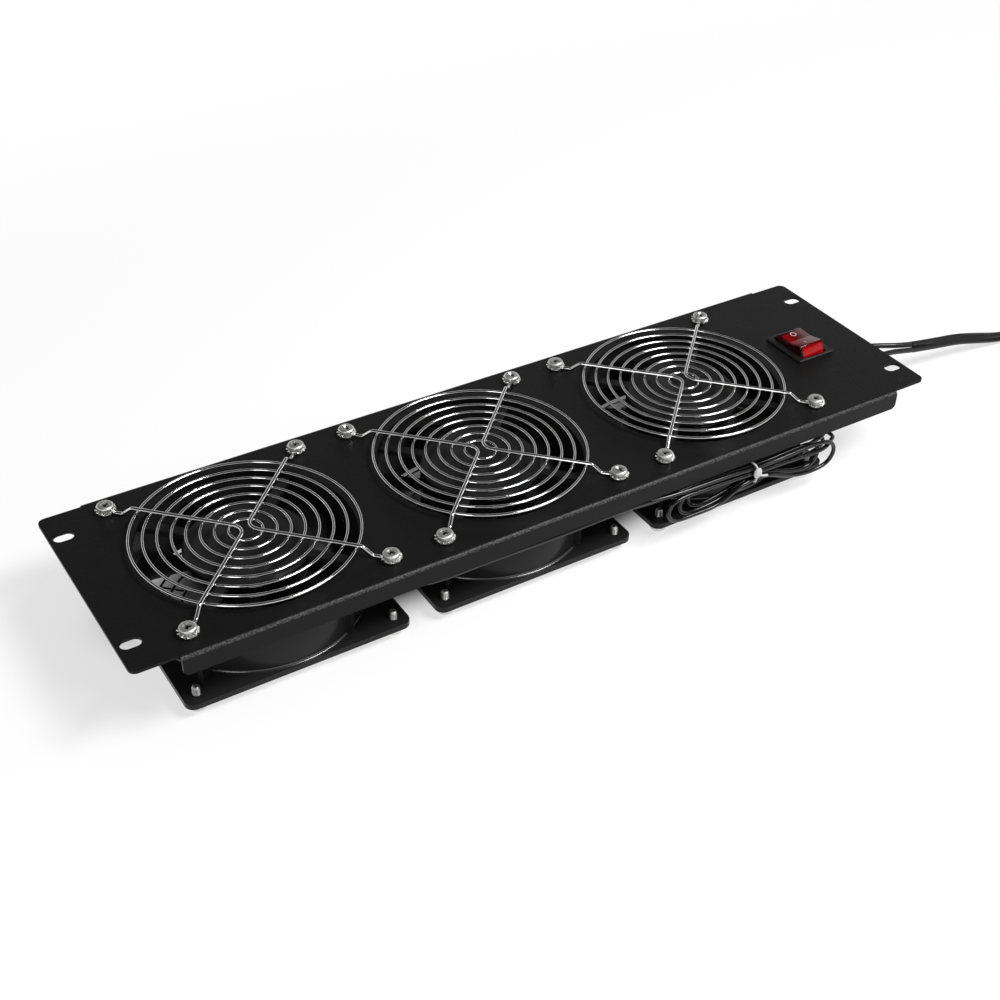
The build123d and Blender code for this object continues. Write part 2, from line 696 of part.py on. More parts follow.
def push_on_connectors():
    """Insulated flag connectors, each with its wire barrel turned away from the middle of the switch."""
    boots = []
    thickness = BLADE_TERMINAL_THICKNESS + 2 * BOOT_WALL
    width = BLADE_TERMINAL_WIDTH + 2 * BOOT_WALL
    for place, side in zip(terminal_places(), (-1, -1, 1, 1)):
        top = SWITCH_BOTTOM - BOOT_GAP
        boot = Pos(0, 0, top) * Box(thickness, width, BOOT_LENGTH, align=(Align.CENTER, Align.CENTER, Align.MAX))
        boot -= Pos(0, 0, top) * Box(
            BLADE_TERMINAL_THICKNESS + 2 * FIT,
            BLADE_TERMINAL_WIDTH + 2 * FIT,
            2 * (BLADE_TERMINAL_LENGTH - BOOT_GAP),
        )
        barrel = Pos(side * (thickness + BARREL_LENGTH) / 2, 0, SHANK_Z) * Rot(0, 90, 0)
        boots.append(place * (boot + barrel * Cylinder(CORE_RADIUS + BOOT_WALL / 2, BARREL_LENGTH)))
    return Compound(children=boots)


def round_cord(route, radius, name):
    return swept(route, RegularPolygon(radius, CORD_SIDES), name)


def fan_lead(side):
    """A fan's lead, straight out of the housing's wall at the lead corner and then along its route."""
    radial = Vector(1, 0).rotate(Axis.Z, LEAD_CORNER)
    exit_point = Vector(FAN_X[side], 0, LEAD_HEIGHTS[side]) + radial * BARREL_RADIUS
    route = [exit_point, exit_point + radial * LEAD_EXIT_RUN]
    return round_cord(route + LEAD_ROUTES[side], LEAD_RADIUS, f"fan_lead_{side}")


def flat_cord(route, name):
    corners = Rectangle(FLAT_WIDTH, FLAT_THICKNESS).vertices()
    return swept(route, chamfer(corners, FLAT_THICKNESS / 4), name)


def lead_splice():
    return Pos(SPLICE_X, SPLICE_Y - SPLICE_LENGTH / 2, SPLICE_Z) * Rot(90, 0, 0) * Cylinder(
        SPLICE_RADIUS, SPLICE_LENGTH
    )


def tie_band(width, height):
    """A strap round a bundle of that section, lying in the XZ plane."""
    inside = Rectangle(width + 2 * TIE_CLEARANCE, height + 2 * TIE_CLEARANCE)
    outside = Rectangle(width + 2 * TIE_THICKNESS, height + 2 * TIE_THICKNESS)
    outside = chamfer(outside.vertices(), TIE_THICKNESS / 2)
    return extrude(Plane.XZ * (outside - inside), TIE_WIDTH / 2, both=True)


def twist_tie():
    """The wire tie round the bundle of leads."""
    return Pos(TIE_X, BUNDLE_Y, BUNDLE_Z) * Rot(0, 0, 90) * tie_band(BUNDLE_WIDTH, BUNDLE_HEIGHT)


def coil_tie():
    """The tie that holds the wound part of the mains cord."""
    band = tie_band(COIL_OUTER - COIL_INNER, COIL_HEIGHT)
    middle = (COIL_OUTER + COIL_INNER) / 2
    return Pos(COIL_X, COIL_Y, 0) * Rot(0, 0, COIL_TIE_TURN) * Pos(middle, 0, TIE_THICKNESS + COIL_HEIGHT / 2) * band


def cord_coil():
    section = chamfer(Rectangle(COIL_OUTER - COIL_INNER, COIL_HEIGHT).vertices(), COIL_CHAMFER)
    middle = (COIL_OUTER + COIL_INNER) / 2
    return Pos(COIL_X, COIL_Y, 0) * revolve(
        Plane.XZ * Pos(middle, TIE_THICKNESS + COIL_HEIGHT / 2) * section, Axis.Z
    )


def plug_body():
    height = TIE_THICKNESS + COIL_HEIGHT + PLUG_HEIGHT / 2
    block = Box(PLUG_LENGTH, PLUG_WIDTH, PLUG_HEIGHT, align=(Align.MIN, Align.CENTER, Align.CENTER))
    block = fillet(block.edges().filter_by(Axis.X), PLUG_ROUND)
    neck = loft(
        [
            Plane.YZ * RectangleRounded(PLUG_WIDTH - 2 * PLUG_SHOULDER, PLUG_HEIGHT - PLUG_SHOULDER, PLUG_ROUND),
            Plane.YZ.offset(-PLUG_NECK)
            * RectangleRounded(FLAT_WIDTH + NECK_MARGIN, FLAT_THICKNESS + NECK_MARGIN, NECK_MARGIN),
        ]
    )
    return Pos(PLUG_X, COIL_Y, height) * (block + neck)


def plug_blades():
    height = TIE_THICKNESS + COIL_HEIGHT + PLUG_HEIGHT / 2
    blade = Box(PIN_LENGTH, PIN_THICKNESS, PIN_WIDTH, align=(Align.MIN, Align.CENTER, Align.CENTER))
    blade = chamfer(blade.edges().filter_by(Axis.Z).group_by(Axis.X)[-1], PIN_THICKNESS / 3)
    places = [Pos(PLUG_X + PLUG_LENGTH, COIL_Y + side * PIN_SPACING / 2, height) for side in (-1, 1)]
    return Compound(children=[place * blade for place in places])


def build():
    guard_turn = Pos(0, 0, FAN_BOTTOM) * Rot(180, 0, 0)
    nodes = {
        "panel": panel(),
        "front_finger_guards": Pos(0, 0, PANEL_TOP) * at_fans(finger_guard(FRONT_RING_RISE)),
        "rear_finger_guards": at_fans(guard_turn * finger_guard(REAR_RING_RISE)),
        "front_tooth_washers": at_holes(tooth_washer(), PANEL_TOP + EYE_THICKNESS),
        "front_screws": at_holes(screw(), PANEL_TOP + EYE_THICKNESS + WASHER),
        "rear_tooth_washers": at_holes(tooth_washer(), FAN_BOTTOM - EYE_THICKNESS, True),
        "rear_screws": at_holes(screw(), FAN_BOTTOM - EYE_THICKNESS - WASHER, True),
        "switch_body": switch_body(),
        "switch_rocker": switch_rocker(),
        "switch_lamp": switch_lamp(),
        "switch_terminals": switch_terminals(),
        "push_on_connectors": push_on_connectors(),
        "lead_splice": lead_splice(),
        "twist_tie": twist_tie(),
        "cord_coil": cord_coil(),
        "coil_tie": coil_tie(),
        "plug_body": plug_body(),
        "plug_blades": plug_blades(),
        "power_cord": flat_cord(MAINS_ROUTE, "power_cord"),
        "cord_tail": flat_cord(TAIL_ROUTE, "cord_tail"),
    }
    cores = [round_cord(route, CORE_RADIUS, "cord_conductors") for route in CONDUCTOR_ROUTES]
    nodes["cord_conductors"] = Compound(children=cores)
    leads = [round_cord(route, SWITCH_LEAD_RADIUS, "switch_leads") for route in SWITCH_LEAD_ROUTES]
    nodes["switch_leads"] = Compound(children=leads)
    motor = {
        "fan_housing": fan_housing(),
        "stator_core": stator_core(),
        "stator_windings": stator_windings(),
        "bearings": bearings(),
        "impeller": impeller(),
        "rotor_ring": rotor_ring(),
        "rotor_shaft": rotor_shaft(),
    }
    for side, x in FAN_X.items():
        for name, piece in motor.items():
            nodes[f"{name}_{side}"] = Pos(x, 0, 0) * piece
        nodes[f"fan_lead_{side}"] = fan_lead(side)
    return nodes


os.makedirs("parts", exist_ok=True)
for name, shape in build().items():
    export_step(shape, f"parts/{name}.step")
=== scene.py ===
import bpy
import bmesh
from math import atan2, copysign, cos, hypot, pi, radians, sin, sqrt
from mathutils import Matrix, Vector


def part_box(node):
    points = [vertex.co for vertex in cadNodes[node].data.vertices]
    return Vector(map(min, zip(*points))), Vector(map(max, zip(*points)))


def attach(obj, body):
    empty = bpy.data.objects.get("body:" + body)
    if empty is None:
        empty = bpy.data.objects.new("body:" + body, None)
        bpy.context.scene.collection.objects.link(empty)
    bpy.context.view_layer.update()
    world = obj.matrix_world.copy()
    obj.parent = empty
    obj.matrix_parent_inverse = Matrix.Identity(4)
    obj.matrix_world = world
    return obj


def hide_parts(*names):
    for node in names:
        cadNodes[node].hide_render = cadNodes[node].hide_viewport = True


# A rack mount fan panel: folded steel, three axial fans, chromed wire guards, a red rocker switch and
# its wiring. Everything is in metres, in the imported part's own frame.

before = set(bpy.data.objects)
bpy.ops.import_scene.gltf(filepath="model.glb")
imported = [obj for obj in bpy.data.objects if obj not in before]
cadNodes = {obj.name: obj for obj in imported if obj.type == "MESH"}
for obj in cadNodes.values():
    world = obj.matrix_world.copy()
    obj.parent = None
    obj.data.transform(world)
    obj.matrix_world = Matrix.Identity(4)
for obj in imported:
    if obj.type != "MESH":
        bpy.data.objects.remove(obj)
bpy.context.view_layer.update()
scene = bpy.context.scene
scene = bpy.context.scene
mm = 0.001
mainBody = "panel_assembly"
sides = ("left", "middle", "right")
fanX = {side: sum(corner.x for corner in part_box(f"fan_housing_{side}")) / 2 for side in sides}
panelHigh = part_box("panel")[1]
panelTop = panelHigh.z
fanBottom, fanTop = (corner.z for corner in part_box("fan_housing_middle"))
print("frame loaded:", len(cadNodes), "nodes")


def added(name, data):  # a new object, in the scene
    made = bpy.data.objects.new(name, data)
    scene.collection.objects.link(made)
    return made


# Camera, as fitted to the photograph's slots, screws and corners. Its target is on the panel's face.
cameraFit = {
    "azimuth": -32.94,
    "elevation": 37.15,
    "roll": 1.60,
    "distance": 0.7819,
    "targetX": -0.03237,
    "targetY": -0.03803,
    "focalPixels": 1534.64,
    "imagePixels": 1000,
    "sensor": 36,
    "clipStart": 0.05,
    "clipEnd": 30,
}


def makeCamera(fit):
    azimuth = radians(fit["azimuth"])
    elevation = radians(fit["elevation"])
    level = cos(elevation)
    back = Vector((sin(azimuth) * level, -cos(azimuth) * level, sin(elevation)))
    data = bpy.data.cameras.new("camera")
    data.sensor_width = fit["sensor"]
    data.lens = fit["focalPixels"] * fit["sensor"] / fit["imagePixels"]
    data.clip_start = fit["clipStart"]
    data.clip_end = fit["clipEnd"]
    camera = added("camera", data)
    camera.location = Vector((fit["targetX"], fit["targetY"], panelTop)) + back * fit["distance"]
    roll = Matrix.Rotation(radians(fit["roll"]), 3, "Z").to_quaternion()
    camera.rotation_mode = "QUATERNION"
    camera.rotation_quaternion = (-back).to_track_quat("-Z", "Y") @ roll
    scene.camera = camera


makeCamera(cameraFit)
print("camera made")


rocker = {
    "x": 200.2 * mm,
    "pivotDrop": 1.8 * mm,
    "width": 17.5 * mm,
    "radius": 12.8 * mm,
    "crease": 6.65 * mm,
    "rise": 1.4 * mm,
    "valleyDepth": 0.94,
    "valleyHalf": 0.06,
    "foot": 0.6 * mm,
    "keel": 1.6 * mm,
    "keelHalf": 0.35,
    "tilt": 6.5,
    "wall": 0.5 * mm,
    "edge": 1.1 * mm,
    "skinRound": 0.55 * mm,
    "coreRound": 0.3 * mm,
    "endSteps": 6,
    "ribs": 9,
    "markX": 0.2 * mm,
    "markY": 5.9 * mm,
    "barX": -1.0 * mm,
    "barHalf": 1.6 * mm,
    "markStroke": 0.27 * mm,
    "barStroke": 0.17 * mm,
    "markSize": 1.95 * mm,
    "markLift": 0.03 * mm,
    "markThick": 0.05 * mm,
}


class Wire:  # a socket that can be added, subtracted, multiplied and divided like a number
    def __init__(self, graph, socket):
        self.graph = graph
        self.socket = socket

    def __add__(self, other):
        return self.graph.maths("ADD", self, other)

    def __radd__(self, other):
        return self.graph.maths("ADD", other, self)

    def __sub__(self, other):
        return self.graph.maths("SUBTRACT", self, other)

    def __rsub__(self, other):
        return self.graph.maths("SUBTRACT", other, self)

    def __mul__(self, other):
        return self.graph.maths("MULTIPLY", self, other)

    def __rmul__(self, other):
        return self.graph.maths("MULTIPLY", other, self)

    def __truediv__(self, other):
        return self.graph.maths("DIVIDE", self, other)


class Graph:  # a node tree, of a material or of a modifier
    def __init__(self, tree):
        self.tree = tree

    def node(self, kind, settings=None, sockets=None, output=0):
        made = self.tree.nodes.new(kind)
        for name, value in (settings or {}).items():
            setattr(made, name, value)
        for key, value in (sockets or {}).items():
            self.feed(made.inputs[key], value)
        return Wire(self, made.outputs[output]) if len(made.outputs) else None

    def feed(self, socket, value):
        if isinstance(value, Wire):
            self.tree.links.new(value.socket, socket)
        else:
            socket.default_value = value

    def maths(self, operation, first, second=0.0):
        return self.node("ShaderNodeMath", {"operation": operation}, {0: first, 1: second})

    def vector(self, x, y=0.0, z=0.0):
        return self.node("ShaderNodeCombineXYZ", None, {"X": x, "Y": y, "Z": z})

    def ramp(self, value, start, end, last=1.0):  # goes smoothly from 0 to last between start and end
        sockets = {"Value": value, "From Min": start, "From Max": end, "To Min": 0.0, "To Max": last}
        return self.node("ShaderNodeMapRange", {"interpolation_type": "SMOOTHSTEP"}, sockets)


class Finish(Graph):  # a material with one Principled shader
    def __init__(self, name, constants):
        self.material = bpy.data.materials.new(name)
        self.material.use_nodes = True
        super().__init__(self.material.node_tree)
        self.tree.nodes.clear()
        self.shader = self.node("ShaderNodeBsdfPrincipled", None, constants)
        self.node("ShaderNodeOutputMaterial", None, {"Surface": self.shader})
        self.coords = self.node("ShaderNodeTexCoord", None, None, "Object")

    def set(self, name, value):
        self.feed(self.shader.socket.node.inputs[name], value)

    def axes(self):  # the object coordinates' x, y and z
        place = self.node("ShaderNodeSeparateXYZ", None, {"Vector": self.coords}).socket.node
        return [Wire(self, socket) for socket in place.outputs]

    def noise(self, perMetre, detail=2.0, roughness=0.5, stretch=None):
        vector = self.coords
        if stretch:
            vector = self.node("ShaderNodeMapping", None, {"Vector": vector, "Scale": stretch})
        sockets = {"Vector": vector, "Scale": perMetre, "Detail": detail, "Roughness": roughness}
        return self.node("ShaderNodeTexNoise", {"noise_dimensions": "3D"}, sockets)

    def between(self, factor, low, high):
        return low + factor * (high - low)

    def tint(self, factor, first, second):  # each colour is three numbers or a wire
        first, second = (colour if isinstance(colour, Wire) else (*colour, 1) for colour in (first, second))
        return self.node("ShaderNodeMix", {"data_type": "RGBA"}, {0: factor, 6: first, 7: second}, 2)

    def mottled(self, look):  # a cloudy grey and its roughness
        colour = self.tint(self.noise(look["cloud"]), grey(look["dark"]), grey(look["light"]))
        return colour, self.between(self.noise(look["roughScale"], 3), look["roughLow"], look["roughHigh"])

    def surface(self, colour, roughness, height, depth, strength=0.5):
        self.set("Base Color", colour)
        self.set("Roughness", roughness)
        sockets = {"Height": height, "Distance": depth, "Strength": strength}
        self.set("Normal", self.node("ShaderNodeBump", None, sockets))
        return self.material


def grey(value):
    return (value, value, value)


powderCoat = {
    "dark": 0.0056,
    "light": 0.0074,
    "cloud": 14,
    "specular": 0.11,
    "roughLow": 0.34,
    "roughHigh": 0.44,
    "roughScale": 90,
    "grain": 1000,
    "depth": 0.00014,
    # the painted highlight along the bends: its colour, where it lies and its speckle
    "bendPaintedHighlight": 0.075,
    "bendStart": 63.8 * mm,
    "bendFull": 64.9 * mm,
    "bendFoot": 2.1 * mm,
    "bendHead": 1.0 * mm,
    "bendBase": 0.12,
    "speck": 1500,
    "speckLow": 0.4,
    "speckHigh": 0.64,
}


def makePowderCoat(look):
    finish = Finish("powder_coat", {"Specular IOR Level": look["specular"]})
    colour, rough = finish.mottled(look)
    y, z = finish.axes()[1:]
    outer = finish.ramp(finish.maths("ABSOLUTE", y), look["bendStart"], look["bendFull"])
    upper = finish.ramp(z, panelTop - look["bendFoot"], panelTop - look["bendHead"])
    speck = finish.ramp(finish.noise(look["speck"], 1), look["speckLow"], look["speckHigh"])
    base = look["bendBase"]
    share = outer * upper * (base + speck * (1 - base))  # painted highlight: the base colour is painted lighter and speckled along the bends, where the grain would catch the light
    colour = finish.tint(share, colour, grey(look["bendPaintedHighlight"]))
    return finish.surface(colour, rough, finish.noise(look["grain"], 3, 0.6), look["depth"], 0.8)


castPaint = {
    "dark": 0.013,
    "light": 0.019,
    "cloud": 25,
    "roughLow": 0.18,
    "roughHigh": 0.28,
    "roughScale": 60,
    "grain": 700,
    "depth": 0.000015,
}


def makeCastPaint(look, name, specular):
    finish = Finish(name, {"Specular IOR Level": specular})
    return finish.surface(*finish.mottled(look), finish.noise(look["grain"], 3, 0.55), look["depth"])


def makeMetal(name, dark, light, roughLow, roughHigh, grain=400, depth=0.000004, stretch=None, hollow=None):
    finish = Finish(name, {"Metallic": 1.0})
    streak = finish.noise(grain, 3, 0.6, stretch)
    colour = finish.tint(finish.noise(120), dark, light)
    if hollow:  # painted shade in the recesses, from the piece's own attribute
        share = finish.node("ShaderNodeAttribute", {"attribute_name": hollow}, None, "Fac")
        colour = finish.tint(share, colour, grey(0.01))
    return finish.surface(colour, finish.between(streak, roughLow, roughHigh), streak, depth, 0.6)


def makePlastic(name, dark, light, roughLow, roughHigh, grain=1400, depth=0.000012, specular=0.4):
    finish = Finish(name, {"Specular IOR Level": specular})
    colour = finish.tint(finish.noise(40), dark, light)
    rough = finish.between(finish.noise(150), roughLow, roughHigh)
    return finish.surface(colour, rough, finish.noise(grain, 2, 0.6), depth)


def makeClearRed(dark, light):
    finish = Finish("clear_red", {"Transmission Weight": 0.96, "IOR": 1.35, "Specular IOR Level": 0.1})
    colour = finish.tint(finish.noise(60, 1), dark, light)
    rough = finish.between(finish.noise(300), 0.09, 0.15)
    return finish.surface(colour, rough, finish.noise(700, 1), 0.000002)


# the rocker core's painted light: shaded rims and top, a lit front wall, a painted pool of light and a
# painted glow
coreRed = {
    "rim": (0.012, 0.0008, 0.001),
    "top": (0.12, 0.003, 0.004),
    "front": (0.75, 0.008, 0.014),
    "glow": 0.28,
    "rimWidth": 0.3 * mm,
    "backStart": 8.6 * mm,
    "backFull": 9.2 * mm,
    "frontStart": 9.0 * mm,
    "frontFull": 9.6 * mm,
    "ribWave": 0.5 * mm,
    "ribLow": 5.6 * mm,
    "ribHigh": 6.1 * mm,
    "ribShade": 0.6,
    "paintedLitLean": 0.4,
    "paintedLitStart": 0.5 * mm,
    "paintedLitFull": 7 * mm,
    "paintedLitFront": -7 * mm,
    "paintedLitBack": -2 * mm,
    "paintedLitShare": 0.45,
}


def makeRedCore(look):  # painted light: bright on its front wall, where the ribs show, and across one side of its top, painted shade along its rims and back, and a painted glow
    finish = Finish("rocker_red", {"Specular IOR Level": 0.05, "Emission Strength": look["glow"]})
    x, y, z = finish.axes()
    side = rocker["width"] / 2 - rocker["edge"]
    rim = finish.ramp(finish.maths("ABSOLUTE", x - rocker["x"]), side - look["rimWidth"], side)
    back = finish.ramp(y, look["backStart"], look["backFull"])
    front = finish.ramp(0.0 - y, look["frontStart"], look["frontFull"])
    wave = finish.maths("SINE", x * (2 * pi * rocker["ribs"] / rocker["width"])) * look["ribWave"]
    upper = finish.ramp(z + wave, panelTop + look["ribLow"], panelTop + look["ribHigh"])
    # painted light across one side of the top, fading towards the back
    lamp = finish.ramp(rocker["x"] - x + y * look["paintedLitLean"], look["paintedLitStart"], look["paintedLitFull"])
    lamp = lamp * finish.ramp(y, look["paintedLitFront"], look["paintedLitBack"]) * look["paintedLitShare"]
    bright = finish.maths("MAXIMUM", front * (1.0 - upper * look["ribShade"]), lamp)
    colour = finish.tint(bright, look["top"], look["front"])
    colour = finish.tint(finish.maths("MAXIMUM", rim, back), colour, look["rim"])
    # painted glow: the core emits its painted colour, though it is no lamp
    finish.set("Emission Color", colour)
    rough = finish.between(finish.noise(300), 0.3, 0.45)
    return finish.surface(colour, rough, finish.noise(900, 1), 0.00001)


def makeLampGlass():
    finish = Finish("lamp_glass", {"Transmission Weight": 0.8, "IOR": 1.45})
    finish.set("Base Color", finish.tint(finish.noise(200, 1), (0.9, 0.75, 0.65), (0.95, 0.85, 0.75)))
    finish.set("Roughness", finish.between(finish.noise(500, 1), 0.05, 0.15))
    return finish.material


plateTones = (grey(0.2), grey(0.32))
zincTones = ((0.5, 0.5, 0.49), (0.86, 0.86, 0.84))
copperTones = ((0.42, 0.13, 0.04), (0.62, 0.24, 0.09))
materials = {
    "panel": makePowderCoat(powderCoat),
    "casting": makeCastPaint(castPaint, "cast_paint", 0.12),
    "castRadius": makeCastPaint(castPaint, "cast_radius", 0.9),
    "chrome": makeMetal("chromed_wire", grey(0.62), grey(0.8), 0.06, 0.16, 900),
    # the zinc takes painted shade where a piece's recess attribute says
    "zinc": makeMetal("bright_zinc", *zincTones, 0.28, 0.62, 1000, 0.00007, None, "recess"),
    "steel": makeMetal("ground_steel", grey(0.36), grey(0.5), 0.25, 0.4, 600, 0.000006, (1, 1, 12)),
    "laminations": makeMetal("stacked_laminations", *plateTones, 0.35, 0.55, 300, 0.00002, (1, 1, 9)),
    "copper": makeMetal("enamelled_copper", *copperTones, 0.2, 0.35, 500, 0.00003, (1, 1, 8)),
    "brass": makeMetal("stamped_brass", (0.55, 0.42, 0.16), (0.7, 0.56, 0.26), 0.18, 0.32),
    "impeller": makePlastic("impeller_plastic", grey(0.002), grey(0.0035), 0.2, 0.32, 1400, 0.000012, 0.2),
    "switch": makePlastic("switch_plastic", grey(0.006), grey(0.009), 0.3, 0.42),
    "boot": makePlastic("sleeve_plastic", grey(0.012), grey(0.02), 0.4, 0.55),
    "jacket": makePlastic("cord_jacket", grey(0.0045), grey(0.0075), 0.26, 0.38, 500, 0.00002),
    "leadJacket": makePlastic("lead_jacket", grey(0.0025), grey(0.0045), 0.12, 0.22, 500, 0.00001, 0.45),
    "paperTie": makePlastic("white_tie", grey(0.4), grey(0.55), 0.45, 0.6, 900, 0.00003),
    "ink": makePlastic("white_ink", (0.5, 0.32, 0.32), (0.6, 0.4, 0.4), 0.5, 0.6, 1400, 0.000012, 0.2),
    "clearRed": makeClearRed((0.36, 0.004, 0.01), (0.5, 0.008, 0.02)),
    "redCore": makeRedCore(coreRed),
    "lamp": makeLampGlass(),
}
print("materials made:", len(materials))


def meshObject(name, vertices, faces):
    mesh = bpy.data.meshes.new(name)
    mesh.from_pydata(vertices, [], faces)
    mesh.update()
    return added(name, mesh)


def quads(rows, count, loop=False):  # the faces between each ring of points and the next
    faces = []
    for row in range(rows if loop else rows - 1):
        low, high = row * count, (row + 1) % rows * count
        for index in range(count):
            after = (index + 1) % count
            faces.append((low + index, low + after, high + after, high + index))
    return faces


def lofted(name, rings):  # rings of points, each joined to the next, with both ends closed
    count = len(rings[0])
    last = count * (len(rings) - 1)
    ends = [tuple(reversed(range(count))), tuple(range(last, last + count))]
    return meshObject(name, [point for ring in rings for point in ring], ends + quads(len(rings), count))


def smooth(mesh, angle=32):
    mesh.polygons.foreach_set("use_smooth", [True] * len(mesh.polygons))
    mesh.set_sharp_from_angle(angle=radians(angle))


def tidyMesh(piece, merge=0.000002, smoothAngle=32):
    work = bmesh.new()
    work.from_mesh(piece.data)
    bmesh.ops.remove_doubles(work, verts=work.verts, dist=merge)
    bmesh.ops.recalc_face_normals(work, faces=work.faces)
    work.to_mesh(piece.data)
    work.free()
    smooth(piece.data, smoothAngle)


def evaluated(piece):  # the mesh that its modifiers or its curve make
    return bpy.data.meshes.new_from_object(piece.evaluated_get(bpy.context.evaluated_depsgraph_get()))


def applied(piece, smoothAngle=32):
    mesh = evaluated(piece)
    piece.modifiers.clear()
    piece.data = mesh
    if smoothAngle:
        smooth(mesh, smoothAngle)
    return piece


def roundEdges(piece, width, segments, angle):
    bevel = piece.modifiers.new("bevel", "BEVEL")
    bevel.width = width
    bevel.segments = segments
    bevel.limit_method = "ANGLE"
    bevel.angle_limit = radians(angle)


def coat(piece, material):
    piece.data.materials.clear()
    piece.data.materials.append(materials[material])


def dress(material, *nodes):  # a carried-over node keeps its shape and gets a finish
    for node in nodes:
        coat(cadNodes[node], material)


def settle(piece, material, slot, *replaced, body=mainBody):
    coat(piece, material)
    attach(piece, body)
    if replaced:
        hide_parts(*replaced)


def revolved(name, profile, segments, x=0, smoothAngle=32):  # the profile is a closed loop of (radius, z)
    vertices = []
    for step in range(segments):
        angle = 2 * pi * step / segments
        vertices += [(x + radius * cos(angle), radius * sin(angle), z) for radius, z in profile]
    piece = meshObject(name, vertices, quads(segments, len(profile), True))
    tidyMesh(piece, smoothAngle=smoothAngle)
    return piece


def joined(name, pieces):
    work = bmesh.new()
    for piece in pieces:
        work.from_mesh(piece.data)
        bpy.data.objects.remove(piece)
    mesh = bpy.data.meshes.new(name)
    work.to_mesh(mesh)
    work.free()
    smooth(mesh)
    return added(name, mesh)


def bevelledCopy(name, node, width, segments=2, angle=38, reshape=None):  # merged, with rounded edges
    mesh = cadNodes[node].data.copy()
    if reshape:
        for vertex in mesh.vertices:
            vertex.co = reshape(vertex.co)
    work = bmesh.new()
    work.from_mesh(mesh)
    bmesh.ops.remove_doubles(work, verts=work.verts, dist=0.000002)
    bmesh.ops.dissolve_limit(work, angle_limit=radians(0.5), verts=work.verts, edges=work.edges)
    work.to_mesh(mesh)
    work.free()
    for label in [item.name for item in mesh.attributes if item.name.startswith("custom_normal")]:
        mesh.attributes.remove(mesh.attributes[label])
    piece = added(name, mesh)
    roundEdges(piece, width, segments, angle)
    smooth(mesh)
    weights = piece.modifiers.new("weights", "WEIGHTED_NORMAL")  # flat faces stay flat beside rounded edges
    weights.keep_sharp = True
    return applied(piece, None)


# The row of fans, as the trees take it, and half the distance between a fan's screw holes
fanRow = {
    "Fan Count": len(sides),
    "Pitch": fanX["middle"] - fanX["left"],
    "Start X": fanX["left"],
    "Height": 0.0,
    "Turn": 0.0,
}
holeHalf = 52.4 * mm


class ShapeTree(Graph):  # a Geometry Nodes tree for what repeats along the fans, with named inputs
    def __init__(self, name, values):
        super().__init__(bpy.data.node_groups.new(name, "GeometryNodeTree"))
        face = self.tree.interface
        for way in ("INPUT", "OUTPUT"):
            face.new_socket("Geometry", in_out=way, socket_type="NodeSocketGeometry")
        self.values = fanRow | values
        self.keys = {}
        for label, value in self.values.items():
            kind = f"NodeSocket{type(value).__name__.capitalize()}"  # Int, Float, Object or Material
            self.keys[label] = face.new_socket(label, in_out="INPUT", socket_type=kind).identifier
        self.group = self.tree.nodes.new("NodeGroupInput")

    def given(self, label):
        return Wire(self, self.group.outputs[label])

    def copies(self, points, piece, more):  # real copies of a piece at some points
        made = self.node("GeometryNodeInstanceOnPoints", None, {"Points": points, "Instance": piece} | more)
        return self.node("GeometryNodeRealizeInstances", None, {"Geometry": made})

    def fans(self):  # a point at each fan
        first = self.vector(self.given("Start X"), 0.0, self.given("Height"))
        pitch = self.vector(self.given("Pitch"))
        line = {"Count": self.given("Fan Count"), "Start Location": first, "Offset": pitch}
        return self.node("GeometryNodeMeshLine", {"mode": "OFFSET"}, line)

    def tube(self, curve, radius):
        section = self.node("GeometryNodeCurvePrimitiveCircle", None, {"Resolution": 12, "Radius": radius})
        sockets = {"Curve": curve, "Profile Curve": section, "Fill Caps": True}
        return self.node("GeometryNodeCurveToMesh", None, sockets)

    def finish(self, geometry):
        real = self.node("GeometryNodeRealizeInstances", None, {"Geometry": geometry})
        smoothed = self.node("GeometryNodeSetShadeSmooth", None, {"Geometry": real})
        sockets = {"Geometry": smoothed, "Material": self.given("Finish")}
        dressed = self.node("GeometryNodeSetMaterial", None, sockets)
        self.feed(self.tree.nodes.new("NodeGroupOutput").inputs[0], dressed)

    def grow(self, name, seedMesh, changes, smoothAngle):
        holder = added(name, seedMesh)
        modifier = holder.modifiers.new("shape", "NODES")
        modifier.node_group = self.tree
        for label, value in (self.values | changes).items():
            modifier[self.keys[label]] = value
        return applied(holder, smoothAngle)


def polyline(name, lines):  # each line is a list of ((x, y, z), bend radius)
    vertices = []
    edges = []
    bends = []
    for line in lines:
        start = len(vertices)
        for point, bend in line:
            vertices.append(point)
            bends.append(bend)
        edges += [(start + index, start + index + 1) for index in range(len(line) - 1)]
    mesh = bpy.data.meshes.new(name)
    mesh.from_pydata(vertices, edges, [])
    attribute = mesh.attributes.new("bend", "FLOAT", "POINT")
    attribute.data.foreach_set("value", bends)
    return mesh


# The finger guards: rings on two arm wires, each wire with an eye at both ends
guardWires = {
    "Ring Count": 8,
    "Outer Radius": 56.7 * mm,
    "Inner Radius": 8.4 * mm,
    "Ring Wire": 0.8 * mm,
    "Arm Wire": 1.0 * mm,
    "Rise": 0.0,
    "Finish": materials["chrome"],
}
guard = {
    "frontRise": 3.9 * mm,
    "rearRise": 2.5 * mm,
    "weld": 0.25 * mm,
    "centreBend": 6.5 * mm,
    "joggleBend": 2.2 * mm,
    "joggleStart": 2.8 * mm,
    "joggleEnd": 8.2 * mm,
    "eyeRadius": 3.4 * mm,
    "eyeBend": 0.8 * mm,
    "eyeTurn": 330,
    "eyeSteps": 14,
}


